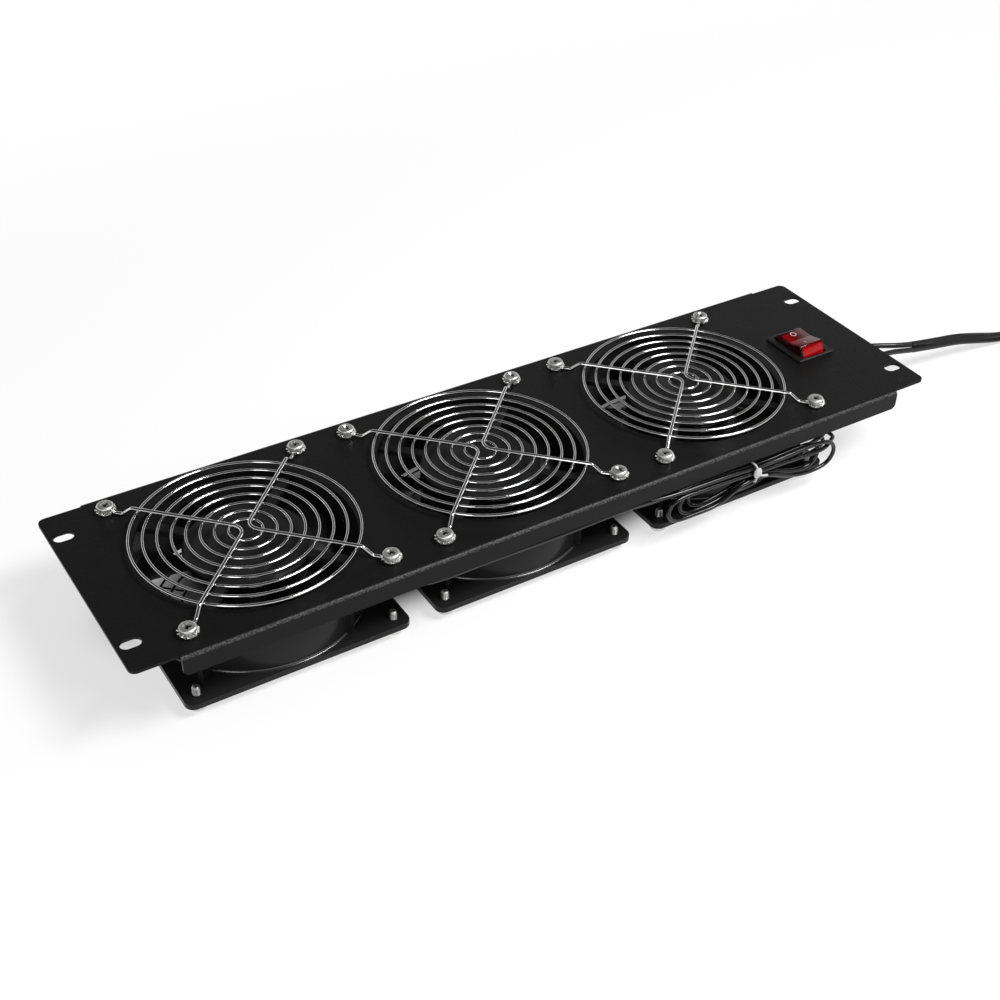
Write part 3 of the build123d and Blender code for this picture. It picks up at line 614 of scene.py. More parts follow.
def guardArm(look, rise, turn):
    low = guardWires["Arm Wire"]
    high = rise + guardWires["Ring Wire"] + low - look["weld"]
    upper = []
    outward = radians(135)
    for step in range(look["eyeSteps"]):  # the eye, wound round the screw from the arm's side
        angle = outward + pi + radians(look["eyeTurn"]) * (1 - step / (look["eyeSteps"] - 1))
        x = -holeHalf + look["eyeRadius"] * cos(angle)
        y = holeHalf + look["eyeRadius"] * sin(angle)
        upper.append(((x, y, low), look["eyeBend"]))
    for run, height in ((look["joggleEnd"], low), (look["joggleStart"], high)):
        radius = guardWires["Outer Radius"] + run
        upper.append(((radius * cos(outward), radius * sin(outward), height), look["joggleBend"]))
    lower = [((x, -y, z), bend) for (x, y, z), bend in reversed(upper)]
    line = upper + [((0, 0, high), look["centreBend"])] + lower
    spin = Matrix.Rotation(turn, 3, "Z")
    return [(tuple(spin @ Vector(point)), bend) for point, bend in line]


def makeGuardTree():
    tree = ShapeTree("finger_guard", guardWires)
    count, inner = tree.given("Ring Count"), tree.given("Inner Radius")
    spot = tree.node("GeometryNodeMeshLine", {"mode": "OFFSET"}, {"Count": count, "Offset": (0, 0, 0)})
    share = tree.node("GeometryNodeInputIndex") / (count - 1)
    radius = inner + share * (tree.given("Outer Radius") - inner)
    circle = tree.node("GeometryNodeCurvePrimitiveCircle", None, {"Resolution": 96, "Radius": 1.0})
    rings = tree.copies(spot, circle, {"Scale": tree.vector(radius, radius, 1.0)})
    lift = tree.vector(0.0, 0.0, tree.given("Rise"))
    rings = tree.node("GeometryNodeSetPosition", None, {"Geometry": rings, "Offset": lift})
    arms = tree.node("GeometryNodeMeshToCurve", None, {"Mesh": tree.given("Geometry")})
    bend = tree.node("GeometryNodeInputNamedAttribute", {"data_type": "FLOAT"}, {"Name": "bend"})
    fillet = {"Curve": arms, "Count": 8, "Radius": bend, "Limit Radius": True}
    arms = tree.node("GeometryNodeFilletCurve", {"mode": "POLY"}, fillet)
    both = tree.node("GeometryNodeJoinGeometry")
    for wires in (tree.tube(rings, tree.given("Ring Wire")), tree.tube(arms, tree.given("Arm Wire"))):
        tree.feed(both.socket.node.inputs[0], wires)
    turned = {"Geometry": both, "Rotation": tree.vector(tree.given("Turn"))}
    tree.finish(tree.copies(tree.fans(), tree.node("GeometryNodeTransform", None, turned), {}))
    return tree


def makeGuards(look):
    tree = makeGuardTree()
    rows = [
        ("front_finger_guards", "front_guard_wires", look["frontRise"], 0.0, panelTop),
        ("rear_finger_guards", "rear_guard_wires", look["rearRise"], pi, fanBottom),
    ]
    for node, name, rise, turn, height in rows:
        arms = polyline(name, [guardArm(look, rise, spin) for spin in (0, pi)])
        piece = tree.grow(name, arms, {"Rise": rise, "Turn": turn, "Height": height}, 60)
        settle(piece, "chrome", "bright_wire", node)


makeGuards(guard)
print("finger guards made")


# Screws with cross recesses and threads, and external tooth lock washers
screw = {
    "headRadius": 4.3 * mm,
    "headHeight": 2.7 * mm,
    "headFoot": 0.25 * mm,
    "crownStart": 1.6 * mm,
    "crownShare": 0.32,
    "crownSteps": 6,
    "shankRadius": 2.1 * mm,
    "threadDepth": 0.45 * mm,
    "threadPitch": 0.8 * mm,
    "threadSegments": 18,
    "rowsPerPitch": 5,
    "length": 10.4 * mm,
    "tip": 1.1 * mm,
    "tipShare": 0.72,
    "dimpleRadius": 0.9 * mm,
    "dimpleDepth": 0.5 * mm,
    "recessReach": 2.5 * mm,
    "recessWidth": 0.9 * mm,
    "recessDepth": 1.3 * mm,
    "recessFoot": 0.35,
    "recessTaper": 0.45,
    "recessOver": 0.2 * mm,
    "shadeStart": 0.05 * mm,
    "valleyShade": 0.8,
    "segments": 28,
    "seat": 1.8 * mm,
}
washer = {
    "radius": 5.25 * mm,
    "bore": 2.35 * mm,
    "thickness": 0.8 * mm,
    "sheet": 0.48 * mm,
    "teeth": 12,
    "toothDepth": 1.15 * mm,
    "toothRoot": 0.3 * mm,
    "rootHalf": 0.8 * mm,
    "tipHalf": 0.72 * mm,
    "twist": 34,
    "rootTwist": 0.4,
}


def crossBlade(look, turn):
    spin = Matrix.Rotation(turn, 3, "Z")
    bottom, top = look["headHeight"] - look["recessDepth"], look["headHeight"] + look["recessOver"]
    rings = []
    for share, z in ((look["recessFoot"], bottom), (1.0, top)):
        x, y = look["recessReach"] * share, look["recessWidth"] * (1 - look["recessTaper"] * (1 - share))
        rings.append([spin @ Vector(corner) for corner in ((-x, -y, z), (x, -y, z), (x, y, z), (-x, y, z))])
    return lofted("recess", rings)


def screwHead(look):
    radius, height = look["headRadius"], look["headHeight"]
    foot, start = look["headFoot"], look["crownStart"]
    crown = radius * look["crownShare"]
    profile = [(0, 0), (radius - foot, 0), (radius, foot), (radius, start)]
    for step in range(look["crownSteps"]):
        angle = radians(90 * (step + 1) / look["crownSteps"])
        profile.append((radius - crown + crown * cos(angle), start + (height - start) * sin(angle)))
    profile.append((0, height))
    head = revolved("screw_head", profile, look["segments"])
    for turn in (0, pi / 2):
        blade = crossBlade(look, turn)
        cut = head.modifiers.new("recess", "BOOLEAN")
        cut.operation = "DIFFERENCE"
        cut.solver = "EXACT"
        cut.object = blade
        head = applied(head, 34)
        bpy.data.objects.remove(blade)
    # painted shade: the cross recess is darkened through the recess attribute
    paintedShade = head.data.attributes.new("recess", "FLOAT", "POINT")
    for vertex in head.data.vertices:
        inner = hypot(vertex.co.x, vertex.co.y) < look["recessReach"]
        hollow = inner and look["shadeStart"] < height - vertex.co.z < height / 2
        paintedShade.data[vertex.index].value = float(hollow)
    return head


def screwThread(look):
    segments, length, pitch = look["threadSegments"], look["length"], look["threadPitch"]
    rings = int(length / pitch * look["rowsPerPitch"])
    turns = [2 * pi * step / segments for step in range(segments)]
    vertices = []
    for row in range(rings + 1):
        z = -length * row / rings
        taper = min(1, (length * (1 - row / rings)) / look["tip"])
        for step, angle in enumerate(turns):
            phase = (z / pitch + step / segments) % 1
            radius = look["shankRadius"] - look["threadDepth"] * abs(2 * phase - 1)
            radius *= look["tipShare"] + (1 - look["tipShare"]) * taper
            vertices.append((radius * cos(angle), radius * sin(angle), z))
    dimple = look["dimpleRadius"]
    vertices += [(dimple * cos(angle), dimple * sin(angle), -length) for angle in turns]
    centre = Vector((0, 0, look["dimpleDepth"] - length))
    rim = len(vertices) - segments
    faces = [(b, a, d, c) for a, b, c, d in quads(rings + 2, segments)]
    faces += [(rim + (step + 1) % segments, rim + step, rim + segments) for step in range(segments)]
    faces.append(tuple(reversed(range(segments))))
    piece = meshObject("screw_thread", vertices + [centre], faces)
    tidyMesh(piece, smoothAngle=50)
    # painted shade: the thread's valleys and the dimple at its tip are darkened through the recess attribute
    paintedShade = piece.data.attributes.new("recess", "FLOAT", "POINT")
    for vertex in piece.data.vertices:
        valley = (look["shankRadius"] - hypot(vertex.co.x, vertex.co.y)) / look["threadDepth"]
        threaded = vertex.co.z > look["tip"] - length
        paintedShade.data[vertex.index].value = min(look["valleyShade"], valley) if threaded else 0.0
    middle = min(piece.data.vertices, key=lambda vertex: (vertex.co - centre).length)
    paintedShade.data[middle.index].value = 1.0
    return piece


def toothWasher(look):
    inner, outer, half = look["bore"], look["radius"] - look["toothDepth"], look["sheet"] / 2
    parts = [revolved("washer_ring", [(inner, -half), (outer, -half), (outer, half), (inner, half)], 36)]
    twist = radians(look["twist"])
    stations = [
        (outer - look["toothRoot"], look["rootHalf"], twist * look["rootTwist"]),
        (look["radius"], look["tipHalf"], twist),
    ]
    for tooth in range(look["teeth"]):
        spin = Matrix.Rotation(2 * pi * tooth / look["teeth"], 4, "Z")
        rings = []
        for radius, width, lean in stations:
            tilt = Matrix.Rotation(lean, 3, "X")
            loop = ((-width, -half), (width, -half), (width, half), (-width, half))
            rings.append([spin @ (Vector((radius, 0, 0)) + tilt @ Vector((0, y, z))) for y, z in loop])
        parts.append(lofted("tooth", rings))
    return joined("tooth_washer", parts)


def makeScatterTree(piece):  # puts a piece at the four holes of each fan, each turned at random
    values = {"Piece": piece, "Hole Half": holeHalf, "Seed": 0, "Finish": materials["zinc"]}
    tree = ShapeTree("at_screw_holes", values)
    side = tree.given("Hole Half") * 2
    square = {"Size X": side, "Size Y": side, "Vertices X": 2, "Vertices Y": 2}
    holes = tree.copies(tree.fans(), tree.node("GeometryNodeMeshGrid", None, square), {})
    draw = {2: 0.0, 3: 2 * pi, "Seed": tree.given("Seed")}
    spin = tree.node("FunctionNodeRandomValue", {"data_type": "FLOAT"}, draw, 1)
    source = tree.node("GeometryNodeObjectInfo", None, {"Object": tree.given("Piece")}, "Geometry")
    tree.finish(tree.copies(holes, source, {"Rotation": tree.vector(tree.given("Turn"), 0.0, spin)}))
    return tree


def makeFasteners():
    whole = joined("screw_master", [screwHead(screw), screwThread(screw)])
    flat = toothWasher(washer)
    tree = makeScatterTree(whole)
    seat, thick = screw["seat"], washer["thickness"]  # the washers lie on the guards' eyes
    rows = [
        ("front_screws", "front_pan_screws", whole, panelTop + seat + thick, 0.0, 3),
        ("rear_screws", "rear_pan_screws", whole, fanBottom - seat - thick, pi, 5),
        ("front_tooth_washers", "front_lock_washers", flat, panelTop + seat + thick / 2, 0.0, 7),
        ("rear_tooth_washers", "rear_lock_washers", flat, fanBottom - seat - thick / 2, pi, 9),
    ]
    for node, name, master, height, turn, seed in rows:
        changes = {"Piece": master, "Height": height, "Turn": turn, "Seed": seed}
        piece = tree.grow(name, bpy.data.meshes.new(name), changes, 40)
        settle(piece, "zinc", "plated_screw", node)
    for master in (whole, flat):
        bpy.data.objects.remove(master)


makeFasteners()
print("screws and washers made")


# Panel and fans, from the CAD shapes with rounded edges
edges = {
    "panel": 0.3 * mm,
    "earCorner": 6.5 * mm,
    "earCornerNew": 3.8 * mm,
    "earHeight": 126.5 * mm,
    "earSheet": 2 * mm,
    "slack": 0.01 * mm,
    "housing": 0.45 * mm,
    "impeller": 0.5 * mm,
    "bezel": 0.3 * mm,
    "sleeve": 0.35 * mm,
    "splice": 0.8 * mm,
    "coilTie": 0.12 * mm,
}
barrel = {"radius": 58.0 * mm, "flange": 3.2 * mm, "fillet": 1.3 * mm, "sunk": 0.4 * mm, "steps": 6}


def tightEar(point):  # draws the vertices of an ear's corner in to a smaller arc, as in the photograph
    old, new = edges["earCorner"], edges["earCornerNew"]
    offX, offY = abs(point.x) - (panelHigh.x - old), abs(point.y) - (edges["earHeight"] / 2 - old)
    if min(offX, offY) < -edges["slack"] or point.z < panelTop - edges["earSheet"]:
        return point
    x = panelHigh.x - new + offX * new / old
    y = edges["earHeight"] / 2 - new + offY * new / old
    return Vector((copysign(x, point.x), copysign(y, point.y), point.z))


def barrelFillet(name, x, z, direction):  # the cast radius between the barrel and a flange
    size, radius, sunk = barrel["fillet"], barrel["radius"], barrel["sunk"]
    profile = [(radius - sunk, z - direction * sunk), (radius - sunk, z + direction * size)]
    for step in range(barrel["steps"] + 1):
        angle = radians(90 * step / barrel["steps"])
        profile.append((radius + size * (1 - cos(angle)), z + direction * size * (1 - sin(angle))))
    profile.append((radius + size, z - direction * sunk))
    return revolved(name, profile, 120, x, 40)


def makePanel():
    piece = bevelledCopy("panel_sheet", "panel", edges["panel"], reshape=tightEar)
    settle(piece, "panel", "panel_paint", "panel")


def makeFans():
    for side in sides:
        housing = bevelledCopy(f"fan_frame_{side}", f"fan_housing_{side}", edges["housing"])
        settle(housing, "casting", "fan_casting", f"fan_housing_{side}")
        low = barrelFillet("low", fanX[side], fanBottom + barrel["flange"], 1)
        high = barrelFillet("high", fanX[side], fanTop - barrel["flange"], -1)
        settle(joined(f"barrel_fillets_{side}", [low, high]), "castRadius", "fan_casting")
        node = f"impeller_{side}"
        blades = bevelledCopy(f"fan_blades_{side}", node, edges["impeller"], 2, 50)
        settle(blades, "impeller", "impeller_plastic", node, body=node)
        dress("laminations", f"stator_core_{side}")
        dress("copper", f"stator_windings_{side}")
        dress("steel", f"bearings_{side}", f"rotor_ring_{side}", f"rotor_shaft_{side}")


makePanel()
makeFans()
print("panel and fans made")


# Rocker switch
def rockerOutline(look, inset):  # ends that are arcs round the pivot, and a top with a shallow valley
    radius = look["radius"] - inset
    low = inset + look["foot"]
    rim = look["crease"] + look["rise"] - inset
    heights = [low + (rim - low) * step / look["endSteps"] for step in range(look["endSteps"] + 1)]
    end = [(sqrt(radius**2 - z**2), z) for z in heights]
    valley = (look["valleyHalf"] * end[-1][0], rim - look["valleyDepth"] * look["rise"])
    keel = (look["keelHalf"] * radius, low - look["keel"])
    half = end + [valley]
    return half + [(-y, z) for y, z in reversed(half)] + [(-keel[0], keel[1]), keel]


def extrudedAlongX(name, outline, halfWidth):
    piece = lofted(name, [[(x, y, z) for y, z in outline] for x in (-halfWidth, halfWidth)])
    tidyMesh(piece)
    return piece


def rockerBody(name, look, inset, rounding, segments):
    piece = extrudedAlongX(name, rockerOutline(look, inset), look["width"] / 2 - inset)
    roundEdges(piece, rounding, segments, 30)
    return tilted(applied(piece), look)


def tilted(piece, look):  # from the rocker's own axes to its place at rest
    place = Matrix.Translation((look["x"], 0, panelTop - look["pivotDrop"]))
    piece.data.transform(place @ Matrix.Rotation(radians(-look["tilt"]), 4, "X"))
    return piece


def rockerMarks(look):  # a ring at the back and a bar at the front, printed on the slopes
    rim = look["crease"] + look["rise"]
    reach = sqrt(look["radius"] ** 2 - rim**2)
    slope = atan2(look["rise"], reach)
    z = look["crease"] + look["rise"] * look["markY"] / reach + look["markLift"]
    thick, outer, long = look["markThick"], look["markSize"], look["barHalf"]
    inner = outer - 2 * look["markStroke"]
    ring = revolved("mark_ring", [(inner, 0), (outer, 0), (outer, thick), (inner, thick)], 32)
    outline = [(-long, 0), (long, 0), (long, thick), (-long, thick)]
    bar = extrudedAlongX("mark_bar", outline, look["barStroke"])
    for mark, x, side in ((ring, look["markX"], 1), (bar, look["barX"], -1)):
        place = Matrix.Translation((x, side * look["markY"], z))
        mark.data.transform(place @ Matrix.Rotation(side * slope, 4, "X"))
    return tilted(joined("rocker_marks", [ring, bar]), look)


def makeSwitch(look):
    shell = rockerBody("rocker_shell", look, 0, look["skinRound"], 3)
    settle(shell, "clearRed", "rocker_red", "switch_rocker", body="rocker")
    core = rockerBody("rocker_core", look, look["wall"], look["coreRound"], 2)
    settle(core, "redCore", "rocker_red", body="rocker")
    settle(rockerMarks(look), "ink", "rocker_red", body="rocker")
    housing = bevelledCopy("switch_case", "switch_body", edges["bezel"])
    settle(housing, "switch", "switch_plastic", "switch_body")
    dress("lamp", "switch_lamp")
    dress("brass", "switch_terminals")
    boots = bevelledCopy("connector_sleeves", "push_on_connectors", edges["sleeve"], 2, 40)
    settle(boots, "boot", "boot_plastic", "push_on_connectors")


makeSwitch(rocker)
print("rocker switch made")


# Cords. Their points are in millimetres, as they lie in the part.
cordPoints = {
    "coreLeft": [
        (212, 7, 22), (229, 7.6, 22.6), (246, 8.4, 22.9), (262, 7.4, 22.6), (274, 4.2, 21.4),
        (285, -0.6, 20.6), (295, -2.05, 19.3),
    ],
    "coreRight": [
        (212, -7, 22), (229, -7.6, 22.3), (247, -6.6, 22.8), (263, -5.2, 22.3), (276, -4.4, 20.7),
        (286, -4.8, 18.7), (295, -4.35, 16.5),
    ],
    "mains": [
        (295, -3.2, 17.9), (314, -3.6, 14.9), (334, -4.6, 12.8), (352, -5.6, 8.6), (368, -6.4, 4.6),
        (382, -7, 2.6), (394, -8, 2.4),
    ],
    "tail": [(372.6, -64, 14.2), (377, -57, 15.6), (385, -52.6, 17.6), (394, -52, 18.5), (403, -52, 18.5)],
    "left": [
        (-98, -56, 29.4), (-83, -61.4, 29.8), (-56, -62, 31), (-12, -62.2, 30.2), (28, -62, 30.8),
        (46, -63.2, 31.2), (62, -66.4, 31.8), (98, -66.8, 31.6), (121, -66.8, 29.3), (143, -66.8, 30.6),
        (167, -66.8, 30.6), (173.4, -66.8, 22.2), (169, -66.8, 13.4), (155, -66.8, 12), (140, -66.8, 15),
        (121, -66.8, 23.7), (105, -66.8, 21.6), (90, -66.8, 13.6), (76, -66.8, 13.6), (59.4, -66.8, 14),
        (54.7, -66.8, 21.6), (59, -66.8, 29), (82, -66.8, 28.4), (121, -66.8, 26.5), (143, -66.8, 25.8),
        (158, -67.5, 25.4), (166, -66.2, 25), (173.5, -62.2, 24.6), (180.5, -57.6, 23.4),
        (180.6, -48, 21.2),
    ],
    "middle": [
        (36, -56, 25), (50, -60.8, 27.4), (66, -63.8, 31.4), (98, -64.2, 31.6), (121, -64.2, 29.3),
        (142, -64.2, 30.6), (158.6, -64.2, 30.4), (163.4, -64.2, 22.4), (158.6, -64.2, 14.4),
        (146, -64.2, 14.6), (121, -64.2, 23.7), (104, -64.2, 20.6), (92, -64.2, 14.2), (69, -64.2, 13.6),
        (64.2, -64.2, 20.8), (68.8, -64.2, 28.2), (86, -64.2, 28.2), (121, -64.2, 26.5), (141, -64.2, 27),
        (151, -63.4, 27.2), (161, -60.4, 27), (169, -58.6, 26.4), (175.2, -55, 25.2), (177.8, -48, 23.8),
    ],
    "right": [
        (162.1, -53.4, 34.2), (159.6, -58.4, 34), (154.4, -61.6, 33), (143, -61.6, 31.2),
        (121, -61.6, 29.3), (102, -61.6, 30.4), (76.2, -61.6, 30), (71.6, -61.6, 22.4),
        (76.2, -61.6, 14.8), (90, -61.6, 14.4), (121, -61.6, 23.7), (142, -61.6, 20.4),
        (159, -61.4, 20.2), (170, -59.2, 20.8), (175.6, -54.6, 21), (176.8, -48, 21.2),
    ],
}
cords = {
    "leadHeights": {"left": 30, "middle": 24, "right": 34},
    "leadLengths": {"left": 0.568, "middle": 0.385, "right": 0.229},
    "leadExitRun": 8.5,
    "leadDiameter": 2.4,
    "coreDiameter": 3.4,
    "flatWidth": 7.2,
    "flatThickness": 3.6,
    "coilX": 410,
    "coilY": -52,
    "coilTurns": [(46.1, 2.4), (38.7, 2.4), (38.7, 6.1), (46.1, 6.1), (46.1, 9.8), (38.7, 9.8)],
    "coilStart": 110,
    "coilEnd": 198,
    "crossOver": 0.8,
    "pointsPerTurn": 14,
    "roll": 50,
    "rollRun": 0.1,
    "rollHold": 1.8,
    "splitRun": 0.022,
    "startRows": 80,
    "coreArc": 135,
    "splitArc": 44,
    "arcSteps": 6,
}


def eased(share):  # from 0 to 1, slow at both ends
    share = min(1, max(0, share))
    return share * share * (3 - 2 * share)


def cordCurve(name, points, diameter):  # one smooth NURBS line through given control points
    data = bpy.data.curves.new(name, "CURVE")
    data.dimensions = "3D"
    spline = data.splines.new("NURBS")
    spline.points.add(len(points) - 1)
    for point, place in zip(spline.points, points):
        point.co = (place[0] * mm, place[1] * mm, place[2] * mm, 1)
    spline.order_u = 3
    spline.use_endpoint_u = True
    spline.resolution_u = 8
    data.bevel_depth = diameter * mm / 2
    data.bevel_resolution = 4
    data.use_fill_caps = diameter > 0
    return added(name, data)


def exitOf(points):
    return tuple(value * mm for value in points[0])


def leadRoute(side):
    corner = radians(-45)
    out = Vector((cos(corner), sin(corner), 0))
    start = Vector((fanX[side] / mm, 0, cords["leadHeights"][side])) + out * (barrel["radius"] / mm)
    return [tuple(start), tuple(start + out * cords["leadExitRun"])] + cordPoints[side]


def makeLeads():
    for side, length in cords["leadLengths"].items():
        route = leadRoute(side)
        piece = cordCurve(f"fan_cable_{side}", route, cords["leadDiameter"])
        settle(piece, "leadJacket", "cord_jacket", f"fan_lead_{side}")
        exitOf(route)


def coilRoute(look):  # the wound part: each turn's radius and height, wound inwards, back out and in again
    turns = look["coilTurns"]
    total = look["coilStart"] + 360 * len(turns) - look["coilEnd"]
    count = int(total / 360 * look["pointsPerTurn"])
    points = []
    for step in range(1, count):
        along = len(turns) * step / count
        turn = min(int(along), len(turns) - 1)
        ease = eased((along - turn - look["crossOver"]) / (1 - look["crossOver"]))
        following = turns[min(turn + 1, len(turns) - 1)]
        radius, height = (now * (1 - ease) + then * ease for now, then in zip(turns[turn], following))
        angle = radians(look["coilStart"] - total * step / count)
        x, y = look["coilX"] + radius * cos(angle), look["coilY"] + radius * sin(angle)
        points.append((x, y, height))
    return points


def lineOf(points):  # the smooth line itself, as points
    bare = cordCurve("bare_line", points, 0)
    line = [vertex.co.copy() for vertex in evaluated(bare).vertices]
    bpy.data.objects.remove(bare)
    return line


def flatProfile(width, thickness, spread, steps):  # two round cores side by side, joined at their arcs' ends
    core = thickness / 2
    points = []
    for side in (1, -1):
        for step in range(-steps, steps + 1):
            angle = radians(step * spread / steps)
            points.append((side * (width / 2 - core + core * cos(angle)), side * core * sin(angle)))
    return points


def flatCord(name, line, look):  # the cord on its flat side, but turned on edge and splitting at its start
    width, thickness = look["flatWidth"] * mm, look["flatThickness"] * mm
    rings = []
    for index, place in enumerate(line):
        ahead = line[min(index + 1, len(line) - 1)] - line[max(index - 1, 0)]
        across = Vector((0, 0, 1)).cross(ahead).normalized()
        upward = ahead.cross(across).normalized()
        past = place.x - line[0].x if index < look["startRows"] else 1.0  # metres past the split
        roll = radians(look["roll"]) * eased((1 - past / look["rollRun"]) * look["rollHold"])
        wide = across * cos(roll) + upward * sin(roll)
        thick = upward * cos(roll) - across * sin(roll)
        split = max(0, 1 - past / look["splitRun"])
        profile = flatProfile(width, thickness, look["coreArc"] + look["splitArc"] * split, look["arcSteps"])
        rings.append([place + wide * x + thick * y for x, y in profile])
    piece = lofted(name, rings)
    tidyMesh(piece, 0.0000005, 50)
    return piece


plug = {
    "x": 419 * mm,
    "z": 18.5 * mm,
    "length": 30 * mm,
    "width": 25 * mm,
    "height": 13 * mm,
    "neck": 16 * mm,
    "neckWidth": 9.2 * mm,
    "neckHeight": 5.6 * mm,
    "steps": 28,
    "corners": 24,
    "squareness": 0.55,
    "grooves": 5,
    "grooveDepth": 0.35 * mm,
    "swellStart": 0.75,
    "swellRun": 1.1,
    "ribbedShare": 0.4,
    "endShare": 0.06,
    "endTaper": 0.1,
}


def makePlug(look):  # lofted sections: a ribbed strain relief that widens into the grip
    neck, ribbed = look["neck"], look["ribbedShare"]
    rings = []
    for step in range(look["steps"] + 1):
        share = step / look["steps"]
        x = -neck + share * (neck + look["length"])
        grow = eased((x + neck * look["swellStart"]) / (neck * look["swellRun"]))
        wave = 0.5 + 0.5 * cos(2 * pi * look["grooves"] * share / ribbed)
        groove = look["grooveDepth"] * wave if share < ribbed else 0
        end = 1 - look["endTaper"] * max(0, (share - 1) / look["endShare"] + 1)
        width = (look["neckWidth"] + (look["width"] - look["neckWidth"]) * grow) * end / 2 - groove
        height = (look["neckHeight"] + (look["height"] - look["neckHeight"]) * grow) * end / 2 - groove
        ring = []
        for corner in range(look["corners"]):
            angle = 2 * pi * corner / look["corners"]
            y, z = (copysign(abs(way) ** look["squareness"], way) for way in (cos(angle), sin(angle)))
            ring.append((look["x"] + x, cords["coilY"] * mm + y * width, look["z"] + z * height))
        rings.append(ring)
    piece = lofted("plug_moulding", rings)
    tidyMesh(piece, smoothAngle=45)
    settle(piece, "jacket", "cord_jacket", "plug_body")
    dress("brass", "plug_blades")
    return piece


def makeMains():
    cores = []
    rows = (("mains_core_upper", "coreLeft", 0.085), ("mains_core_lower", "coreRight", 0.083))
    for name, key, length in rows:
        piece = cordCurve(name, cordPoints[key], cords["coreDiameter"])
        settle(piece, "jacket", "cord_jacket")
        cores.append((piece, key, length))
    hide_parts("cord_conductors")
    body = makePlug(plug)
    tie = bevelledCopy("coil_wrap", "coil_tie", edges["coilTie"], 1)
    settle(tie, "paperTie", "tie_white", "coil_tie")
    line = lineOf(cordPoints["mains"] + coilRoute(cords) + cordPoints["tail"])
    flat = flatCord("mains_cord", line, cords)
    settle(flat, "jacket", "cord_jacket", "power_cord", "cord_coil", "cord_tail")
    length = sum((b - a).length for a, b in zip(line, line[1:]))
    print("mains cord past the split:", round(length, 3), "m")
    exitOf(cordPoints["mains"])
    for piece, key, length in cores:
        exitOf(cordPoints[key])


tieLook = {
    "x": 114,
    "y": -64.2,
    "z": 26.5,
    "halfWidth": 4.6,
    "halfHeight": 5.4,
    "corner": 1.6,
    "wire": 1.3,
    "knot": (113.9, -69.4, 28.4),
    "knotSize": (2.7, 1.4, 3.3),
    "knotSteps": 10,
    "tail": [(114.2, -69.9, 27.2), (116.4, -70.4, 26.6), (118.2, -70.4, 25.8), (120.4, -70.1, 25.2)],
}


def wireMesh(name, points, diameter):
    curve = cordCurve(f"{name}_line", points, diameter)
    piece = added(name, evaluated(curve))
    bpy.data.objects.remove(curve)
    return piece


def makeTie(look):  # a paper covered wire round the bundle, its twisted ends pressed to a knot and a tail
    wide, high, cut = look["halfWidth"], look["halfHeight"], look["corner"]
    loop = [(-wide, 0), (-wide, high - cut), (cut - wide, high), (wide - cut, high), (wide, high - cut)]
    loop += [(wide, cut - high), (wide - cut, -high), (cut - wide, -high), (-wide, cut - high)]
    places = [(look["x"], look["y"] + y, look["z"] + z) for y, z in loop + loop[:1]]
    band = wireMesh("tie_band", places, look["wire"])
    tail = wireMesh("tie_tail", look["tail"], look["wire"])
    angles = [pi * (step / look["knotSteps"] - 0.5) for step in range(look["knotSteps"] + 1)]
    knot = revolved("tie_knot", [(cos(angle), sin(angle)) for angle in angles], 16)
    size = Matrix.Diagonal((*(value * mm for value in look["knotSize"]), 1))
    knot.data.transform(Matrix.Translation([value * mm for value in look["knot"]]) @ size)
    settle(joined("lead_wrap", [band, tail, knot]), "paperTie", "tie_white", "twist_tie")


makeLeads()
makeMains()
dress("jacket", "switch_leads")
splice = bevelledCopy("splice_sleeve", "lead_splice", edges["splice"], 3)
settle(splice, "boot", "boot_plastic", "lead_splice")
makeTie(tieLook)
print("cords made")


# Floor, light and background
studio = {
    "floorSize": 6.0,
    "underCentre": (0, 0.02, 0),
    "underReach": (0.235, 0.07, 1),
    "underFrom": 0.75,
    "underTo": 1.05,
    "farFrom": 4.0,
    "farTo": 9.0,
    "world": 0.35,
    "overhead": 0.05,
    "bandLow": 0.27,
    "bandHigh": 0.46,
    "topPower": 36.0,
    "keyPower": 5.0,
    "shadow": 0.35,
}


def whiteToCamera(graph):
    rays = graph.node("ShaderNodeLightPath").socket.node.outputs
    kinds = ("Camera", "Glossy", "Transmission")
    straight, glossy, through = (Wire(graph, rays[f"Is {kind} Ray"]) for kind in kinds)
    clamped = {"operation": "ADD", "use_clamp": True}
    return graph.node("ShaderNodeMath", clamped, {0: straight + glossy, 1: through})


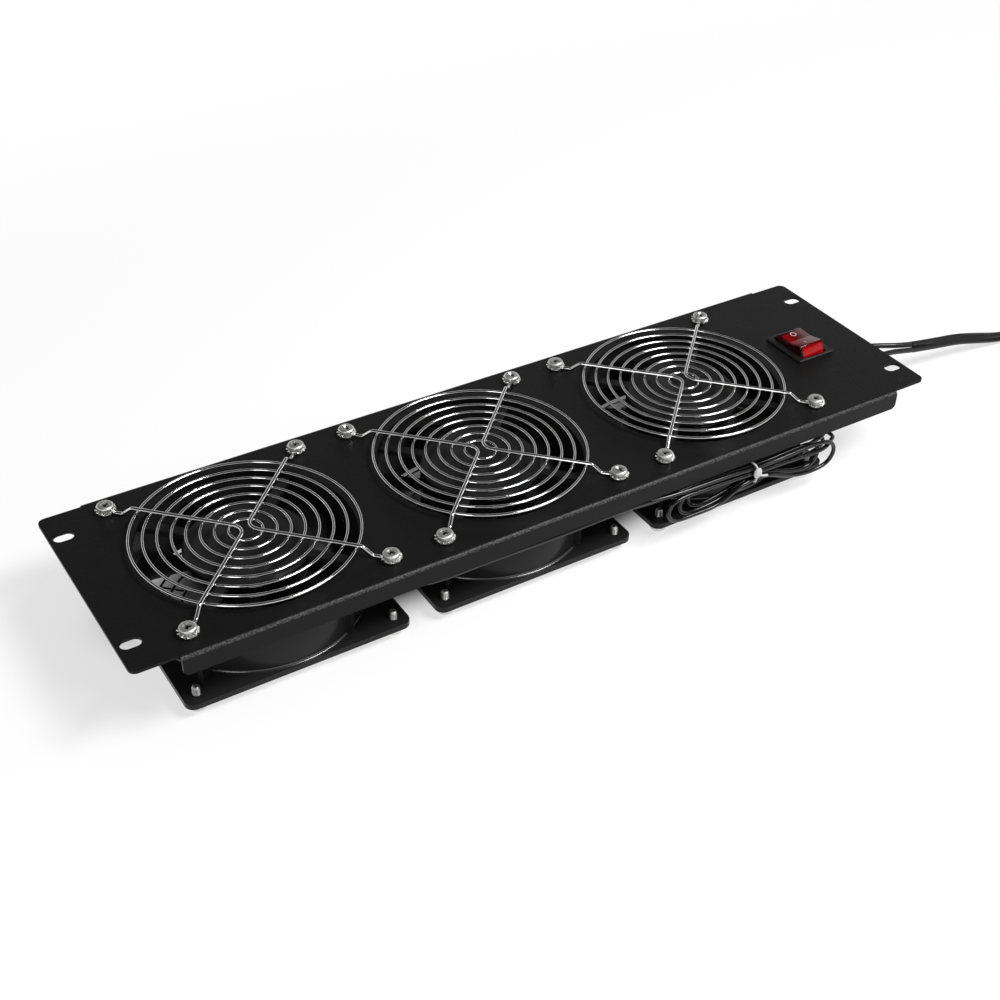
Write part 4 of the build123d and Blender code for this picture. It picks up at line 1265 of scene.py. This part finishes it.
def makeFloor(look):
    half = look["floorSize"] / 2
    corners = [(-half, -half, 0), (half, -half, 0), (half, half, 0), (-half, half, 0)]
    floor = meshObject("floor", corners, [(0, 1, 2, 3)])
    material = bpy.data.materials.new("floor_white")
    material.use_nodes = True
    graph = Graph(material.node_tree)
    graph.tree.nodes.clear()
    diffuse = graph.node("ShaderNodeBsdfDiffuse", None, {"Color": (0.9, 0.9, 0.9, 1)})
    glow = graph.node("ShaderNodeEmission", None, {"Color": (1, 1, 1, 1), "Strength": 1.0})
    reach = graph.node("ShaderNodeTexCoord", None, None, "Object")
    for operation, value in (("SUBTRACT", look["underCentre"]), ("DIVIDE", look["underReach"])):
        reach = graph.node("ShaderNodeVectorMath", {"operation": operation}, {0: reach, 1: value}, "Vector")
    reach = graph.node("ShaderNodeVectorMath", {"operation": "LENGTH"}, {0: reach}, "Value")
    clear = graph.ramp(reach, look["underFrom"], look["underTo"])
    far = graph.ramp(reach, look["farFrom"], look["farTo"], look["shadow"])
    bare = clear * (1 - look["shadow"]) + far  # the shadow is whole under the object
    share = whiteToCamera(graph) * bare
    mixed = graph.node("ShaderNodeMixShader", None, {0: share, 1: diffuse, 2: glow})
    graph.node("ShaderNodeOutputMaterial", None, {"Surface": mixed})
    floor.data.materials.append(material)


def makeWorld(look):  # white at the horizon, as the floor is, and darker overhead
    world = bpy.data.worlds.new("studio")
    world.use_nodes = True
    graph = Graph(world.node_tree)
    graph.tree.nodes.clear()
    direction = graph.node("ShaderNodeTexCoord", None, None, "Generated")
    height = graph.node("ShaderNodeSeparateXYZ", None, {"Vector": direction}, "Z")
    band = {"Value": height, "From Min": look["bandLow"], "From Max": look["bandHigh"]}
    sky = graph.node("ShaderNodeMapRange", None, band | {"To Min": 1.0, "To Max": look["overhead"]})
    strength = look["world"] + whiteToCamera(graph) * (sky - look["world"])
    glow = graph.node("ShaderNodeBackground", None, {"Color": (1, 1, 1, 1), "Strength": strength})
    graph.node("ShaderNodeOutputWorld", None, {"Surface": glow})
    scene.world = world


def makeLamp(name, place, aim, size, power):
    data = bpy.data.lights.new(name, "AREA")
    data.shape = "RECTANGLE"
    data.size, data.size_y = size
    data.energy = power
    lamp = added(name, data)
    lamp.location = place
    lamp.rotation_mode = "QUATERNION"
    lamp.rotation_quaternion = (Vector(aim) - Vector(place)).to_track_quat("-Z", "Y")


makeFloor(studio)
makeWorld(studio)
makeLamp("top", (0.75, -0.75, 1.5), (0.05, 0, 0), (0.9, 0.5), studio["topPower"])
makeLamp("key", (-1.3, -1.2, 0.9), (0, 0, 0), (0.5, 0.7), studio["keyPower"])
scene.view_settings.view_transform = "Standard"
print("studio made")
